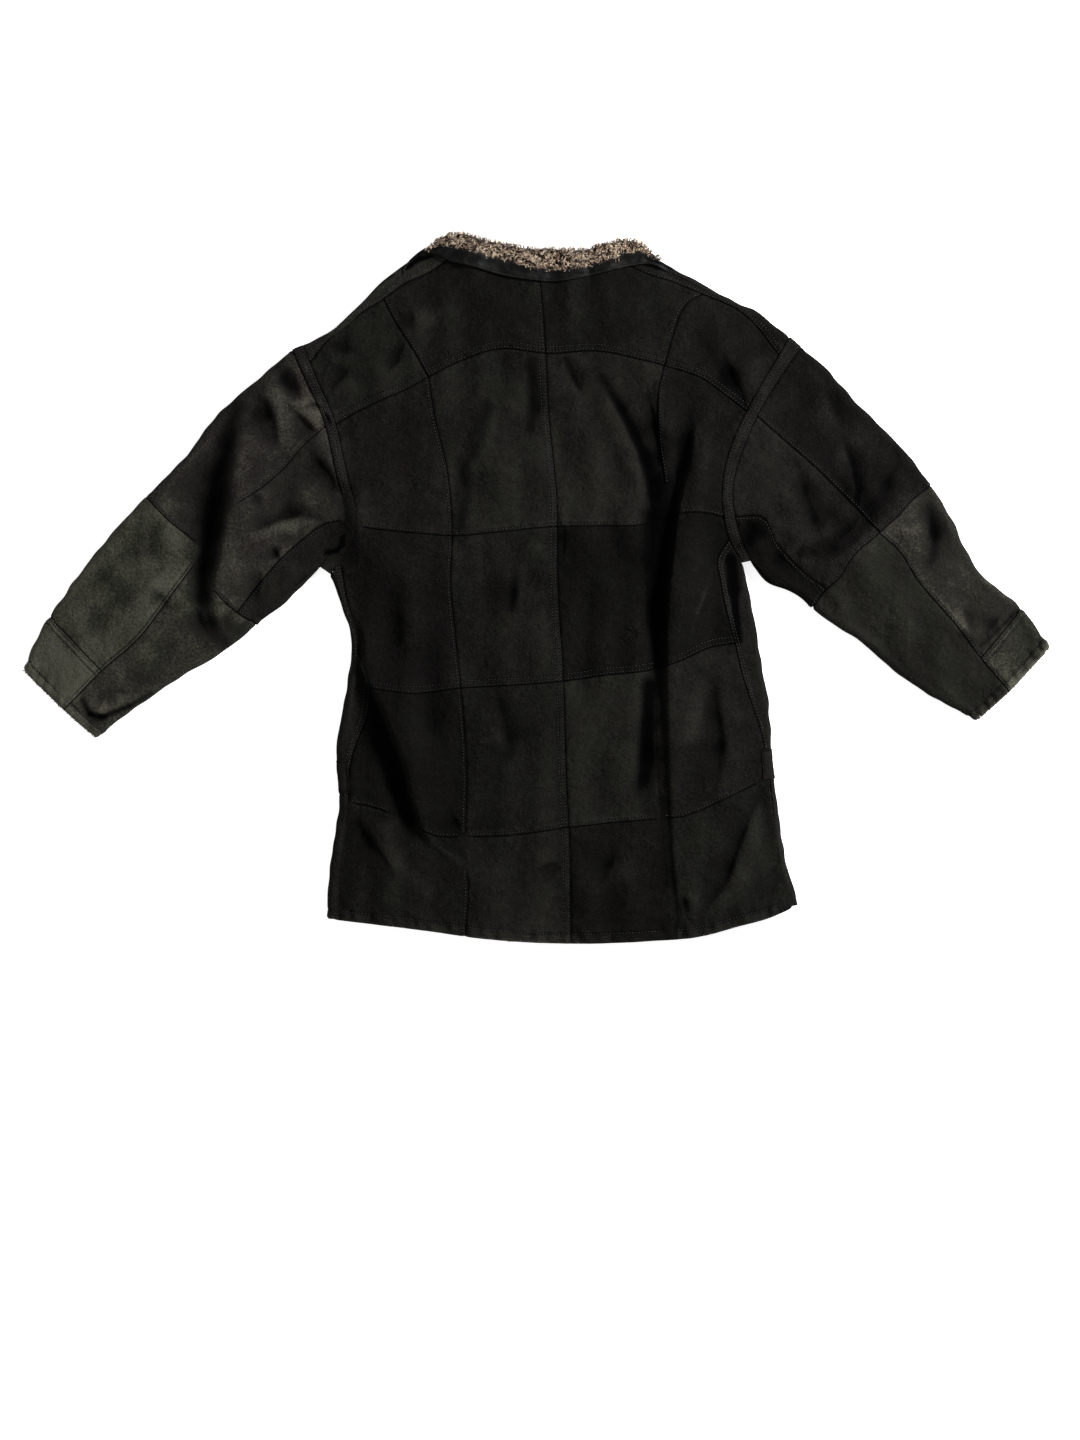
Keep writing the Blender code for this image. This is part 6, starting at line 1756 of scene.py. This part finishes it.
class COAT_OT_collar(bpy.types.Operator):
    """The collar: its skin, curly fur, the leather edging and the two front leaves"""

    bl_idname = "coat.collar"
    bl_label = "Collar"

    def execute(self, context):
        sizes = context.scene.coat_sizes
        pile, spacing = sizes.pile / MM, sizes.lock_spacing / MM
        points, out, layer = collar_surface(110)
        skin = points - out * pile
        shell = Shell("collar_fur", (skin, out, layer), (None,) * 4, wall=1.6)
        make_shell(shell, ("fur", "fur"), coarse=2)
        shown = np.s_[:, :14]
        place, up = scattered(skin[shown], out[shown], spacing, 21)
        x, y = place[:, 0], place[:, 1]
        lean = np.column_stack([
            np.clip(1.2 * waves(x, y, 16, 25), -1, 1),
            -0.3 + np.clip(waves(x, y, 13, 27), -0.6, 0.8), 0 * x,
        ])
        clumps = np.clip(waves(x, 0.8 * y, 4.5, 26) + 0.6 * waves(x, y, 26, 28), -1, 1)
        sizes = (pile * 1.02, 0.43, 0.8)
        locks("collar_locks", place, up, lean, sizes, 22, "fur", clumps)
        place, up = scattered(skin[:, 13:], out[:, 13:], spacing * 1.9, 23)
        lean = np.zeros_like(place) + (0.4, -0.9, 0.0)
        # clumps of -1: short, dark locks, painted shade under the collar's roll
        locks("stand_locks", place, up, lean, (3.0, 0.9, 0.8), 24, "fur", -1.0)
        self.edging()
        self.leaves(spacing)
        return {"FINISHED"}

    def edging(self):
        upper = equal(CURVES["collar_fur_edge"], 190)
        lower = equal(CURVES["collar_free_edge"], 190)
        across = np.array([[0, 0.08, 0.2, 0.34, 0.5, 0.62, 0.74, 0.84, 0.92, 0.97, 1.0]])
        share = np.linspace(0, 1, 191)
        ends = np.minimum(share, 1 - share)
        strip = between(upper, lower, across[0])
        level = RELIEF.height(strip)
        swell = 1.1 * bell(across - 0.8, 0.16) - 0.9 * bell(across - 0.5, 0.1)
        ripple = 0.35 * waves(strip[..., 0], strip[..., 1] * 1.5, 11, 31)
        dive = (4.6 * (1 - soft_step(ends / np.where(share < 0.5, 0.18, 0.05))))[:, None]
        z = level + FALL_RISE - 1.8 - EDGING_SLOPE * across * 0.8 + swell + ripple - dive
        parts = (np.dstack([strip, z]), facing(z.shape, 1.0), np.full(z.shape, RAISED_LAYER))
        shell = Shell("collar_edging", parts, ("free",) * 4, wall=2.6)
        # the edging made lighter along its free edge
        shell.worn += 0.7 * bell(across - 0.9, 0.07)
        make_shell(shell, ("leather", "leather"), coarse=3)
        line, up = shell.row_at(2, 1.6)
        sew("collar_stitches", line[2:-2], up[2:-2])

    def leaves(self, spacing):
        top = CURVES["collar_top"]
        for side, sign in (("left", 1), ("right", -1)):
            start = COLLAR_ENDS[side]["leaf"]
            part_x = FRONT_EDGE_X - 0.2 * sign
            mine = top[(part_x - top[:, 0]) * sign > 3] - (0.0, COLLAR_TUCK)
            mine = mine[(mine[:, 0] - start[0]) * sign > 22][::sign]
            shoulder_start = CURVES["front_shoulder_" + side][0]
            low = joined(("front_neck", shoulder_start, front_neck_end(side)))
            if side == "right":
                low = np.concatenate([low, [(part_x, low[-1][1])]])
            first = np.array([start, *mine, (part_x, LEAF_TOP_Y)])
            sides = [np.array([first[i], low[i]]) for i in (0, -1)]
            u, v = np.linspace(0, 1, 40), np.linspace(0, 1, 16)
            points, out, layer = underneath(filled(first, low, *sides, u, v))
            points[..., 2] = LEAF_RISE
            parts = (points, out, layer + 0.5)
            shell = Shell("collar_leaf_" + side, parts, (None,) * 4, wall=2.0)
            make_shell(shell, ("wool", "nubuck"), coarse=3)
            place, up = scattered(shell.outer, shell.out, spacing * 1.5, 41)
            lean = np.zeros_like(place) + (0.3 * sign, 1.0, 0.0)
            name, sizes = "leaf_locks_" + side, (4.6, 0.95, 1.2)
            # clumps of -0.6: darker locks, painted shade under the collar's end
            made = locks(name, place, up, lean, sizes, 42, "fur", -0.6)
            coordinates = np.empty(len(made.data.vertices) * 3)
            made.data.vertices.foreach_get("co", coordinates)
            coordinates[2::3] = np.maximum(coordinates[2::3], 0.0002)  # above the ground
            made.data.vertices.foreach_set("co", coordinates)


# -------------------- wool at the openings
class COAT_OT_wool(bpy.types.Operator):
    """Tufts of wool that stand out between the layers at the cuffs and along the hem"""

    bl_idname = "coat.wool"
    bl_label = "Wool at cuffs and hem"

    def execute(self, context):
        for side in SIDES:
            self.tufts("cuff_wool_" + side, CURVES["cuff_" + side], 1.5, (4.5, 0.5, 0.8), 50)
        self.tufts("hem_wool", CURVES["hem"], 2.4, (2.6, 0.5, 0.6), 60)
        return {"FINISHED"}

    def tufts(self, name, line, spacing, sizes, seed):
        random = np.random.default_rng(seed)
        along = length_of(line)[-1]
        count = int(along / spacing) * 3
        at = np.sort(random.uniform(0.015, 0.985, count))
        place = divided(line, at)
        ahead = divided(line, np.minimum(at + 0.01, 1)) - divided(line, np.maximum(at - 0.01, 0))
        outward = right_of(ahead)
        outward *= np.sign(outward @ place.mean(axis=0)[:, None])
        inside = place - outward * 2.2
        top = RELIEF.height(inside)
        upper = random.uniform(0, 1, count) < 0.5  # below the top layer, not on the lower
        below_top = top - random.uniform(2.2, 4.6, count)
        level = np.where(upper, below_top, random.uniform(1.6, 4.2, count))
        roots = np.column_stack([inside, level])
        out = unit(np.column_stack([outward, random.uniform(-0.2, 0.3, count)]))
        lean = np.zeros_like(roots) + (0.2, 0.1, 1.0)
        locks(name, roots, out, lean, sizes, seed + 1, "tufts")


class COAT_OT_buttons(bpy.types.Operator):
    """The buttons keep their turned form and get their horn"""

    bl_idname = "coat.buttons"
    bl_label = "Buttons"

    def execute(self, context):
        for number in range(1, len(BUTTON_ROWS_Y) + 1):
            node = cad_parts["button_" + str(number)]
            node.data.materials.clear()
            node.data.materials.append(material("horn"))
        return {"FINISHED"}


class COAT_OT_stitches(bpy.types.Operator):
    """All topstitching noted so far, one mesh for each group of seams"""

    bl_idname = "coat.stitches"
    bl_label = "Topstitching"

    def execute(self, context):
        if not STITCHES:
            raise RuntimeError("no seam has been sewn yet")
        width = context.scene.coat_sizes.stitch_width / MM
        for group, rows in STITCHES.items():
            stitch_mesh(group, rows, width, material("thread"))
        return {"FINISHED"}


# -------------------- the stage
WHITE = (1.0, 1.0, 1.0, 1.0)
FLOOR_HALF = 30.0
VIEW_HEIGHT = 1.896  # what the camera sees from top to bottom, in metres


class COAT_OT_stage(bpy.types.Operator):
    """A plain pale floor, soft studio light and a camera straight above"""

    bl_idname = "coat.stage"
    bl_label = "Floor, lights and camera"

    def execute(self, context):
        floor_material, tree, shader, _ = blank("opal_table")  # lit from below a little
        plug(tree, shader, {
            "Base Color": linear("#f6f6f5"), "Roughness": 0.9, "Emission Color": WHITE,
            "Emission Strength": 0.75,
        })
        mesh = bpy.data.meshes.new("floor")
        corners = [
            (x * FLOOR_HALF, y * FLOOR_HALF, -0.0004)
            for x, y in ((-1, -1), (1, -1), (1, 1), (-1, 1))
        ]
        mesh.from_pydata(corners, [], [(0, 1, 2, 3)])
        floor = placed("floor", mesh)
        floor.data.materials.append(floor_material)
        world = bpy.data.worlds.new("studio")
        context.scene.world = world
        world.use_nodes = True
        tree = world.node_tree
        plug(tree, tree.nodes["Background"], {"Color": WHITE, "Strength": 0.28})
        lights = (
            # name, place, aim, size, power
            ("key", (2.9, 1.25, 2.1), (0.0, -0.1, 0.0), 0.9, 245.0),
            ("fill", (-2.6, -1.2, 3.0), (0.0, -0.1, 0.0), 2.0, 24.0),
        )
        for name, place, aim, size, power in lights:
            lamp = bpy.data.lights.new(name, "AREA")
            lamp.shape, lamp.size, lamp.energy = "DISK", size, power
            holder = placed(name, lamp)
            holder.location = place
            towards = [a - p for a, p in zip(aim, place)]
            level = math.hypot(towards[0], towards[1])
            heading = math.atan2(towards[1], towards[0]) - math.pi / 2
            holder.rotation_euler = (math.atan2(level, -towards[2]), 0.0, heading)
        view = bpy.data.cameras.new("camera")
        view.sensor_fit = "VERTICAL"
        view.sensor_height, view.lens = 36.0, 90.0
        view.clip_end = 50.0
        camera = placed("camera", view)
        distance = VIEW_HEIGHT * view.lens / view.sensor_height
        camera.location = (0.0046, -0.1736, distance + 0.008)
        context.scene.camera = camera
        context.scene.view_settings.view_transform = "Standard"
        return {"FINISHED"}


class COAT_PT_panel(bpy.types.Panel):
    """Lists the coat's pieces, sizes and colours"""

    bl_idname = "COAT_PT_panel"
    bl_label = "Sheepskin coat"
    bl_space_type = "VIEW_3D"
    bl_region_type = "UI"
    bl_category = "Coat"

    def draw(self, context):
        for operator in OPERATORS:
            self.layout.operator(operator.bl_idname)
        for group in (context.scene.coat_sizes, context.scene.coat_colours):
            for key in group.__annotations__:
                self.layout.prop(group, key)


OPERATORS = (
    COAT_OT_stage, COAT_OT_back, COAT_OT_shoulders, COAT_OT_fronts, COAT_OT_sleeves,
    COAT_OT_straps, COAT_OT_collar, COAT_OT_wool, COAT_OT_buttons, COAT_OT_stitches,
)
CLASSES = (CoatSizes, CoatColours, *OPERATORS, COAT_PT_panel)


def register():
    for item in CLASSES:
        bpy.utils.register_class(item)
    bpy.types.Scene.coat_sizes = bpy.props.PointerProperty(type=CoatSizes)
    bpy.types.Scene.coat_colours = bpy.props.PointerProperty(type=CoatColours)


def unregister():
    del bpy.types.Scene.coat_sizes
    del bpy.types.Scene.coat_colours
    for item in reversed(CLASSES):
        bpy.utils.unregister_class(item)


def main():
    register()
    for operator in OPERATORS:
        getattr(bpy.ops.coat, operator.bl_idname.removeprefix("coat."))()


if __name__ == "__main__":
    main()
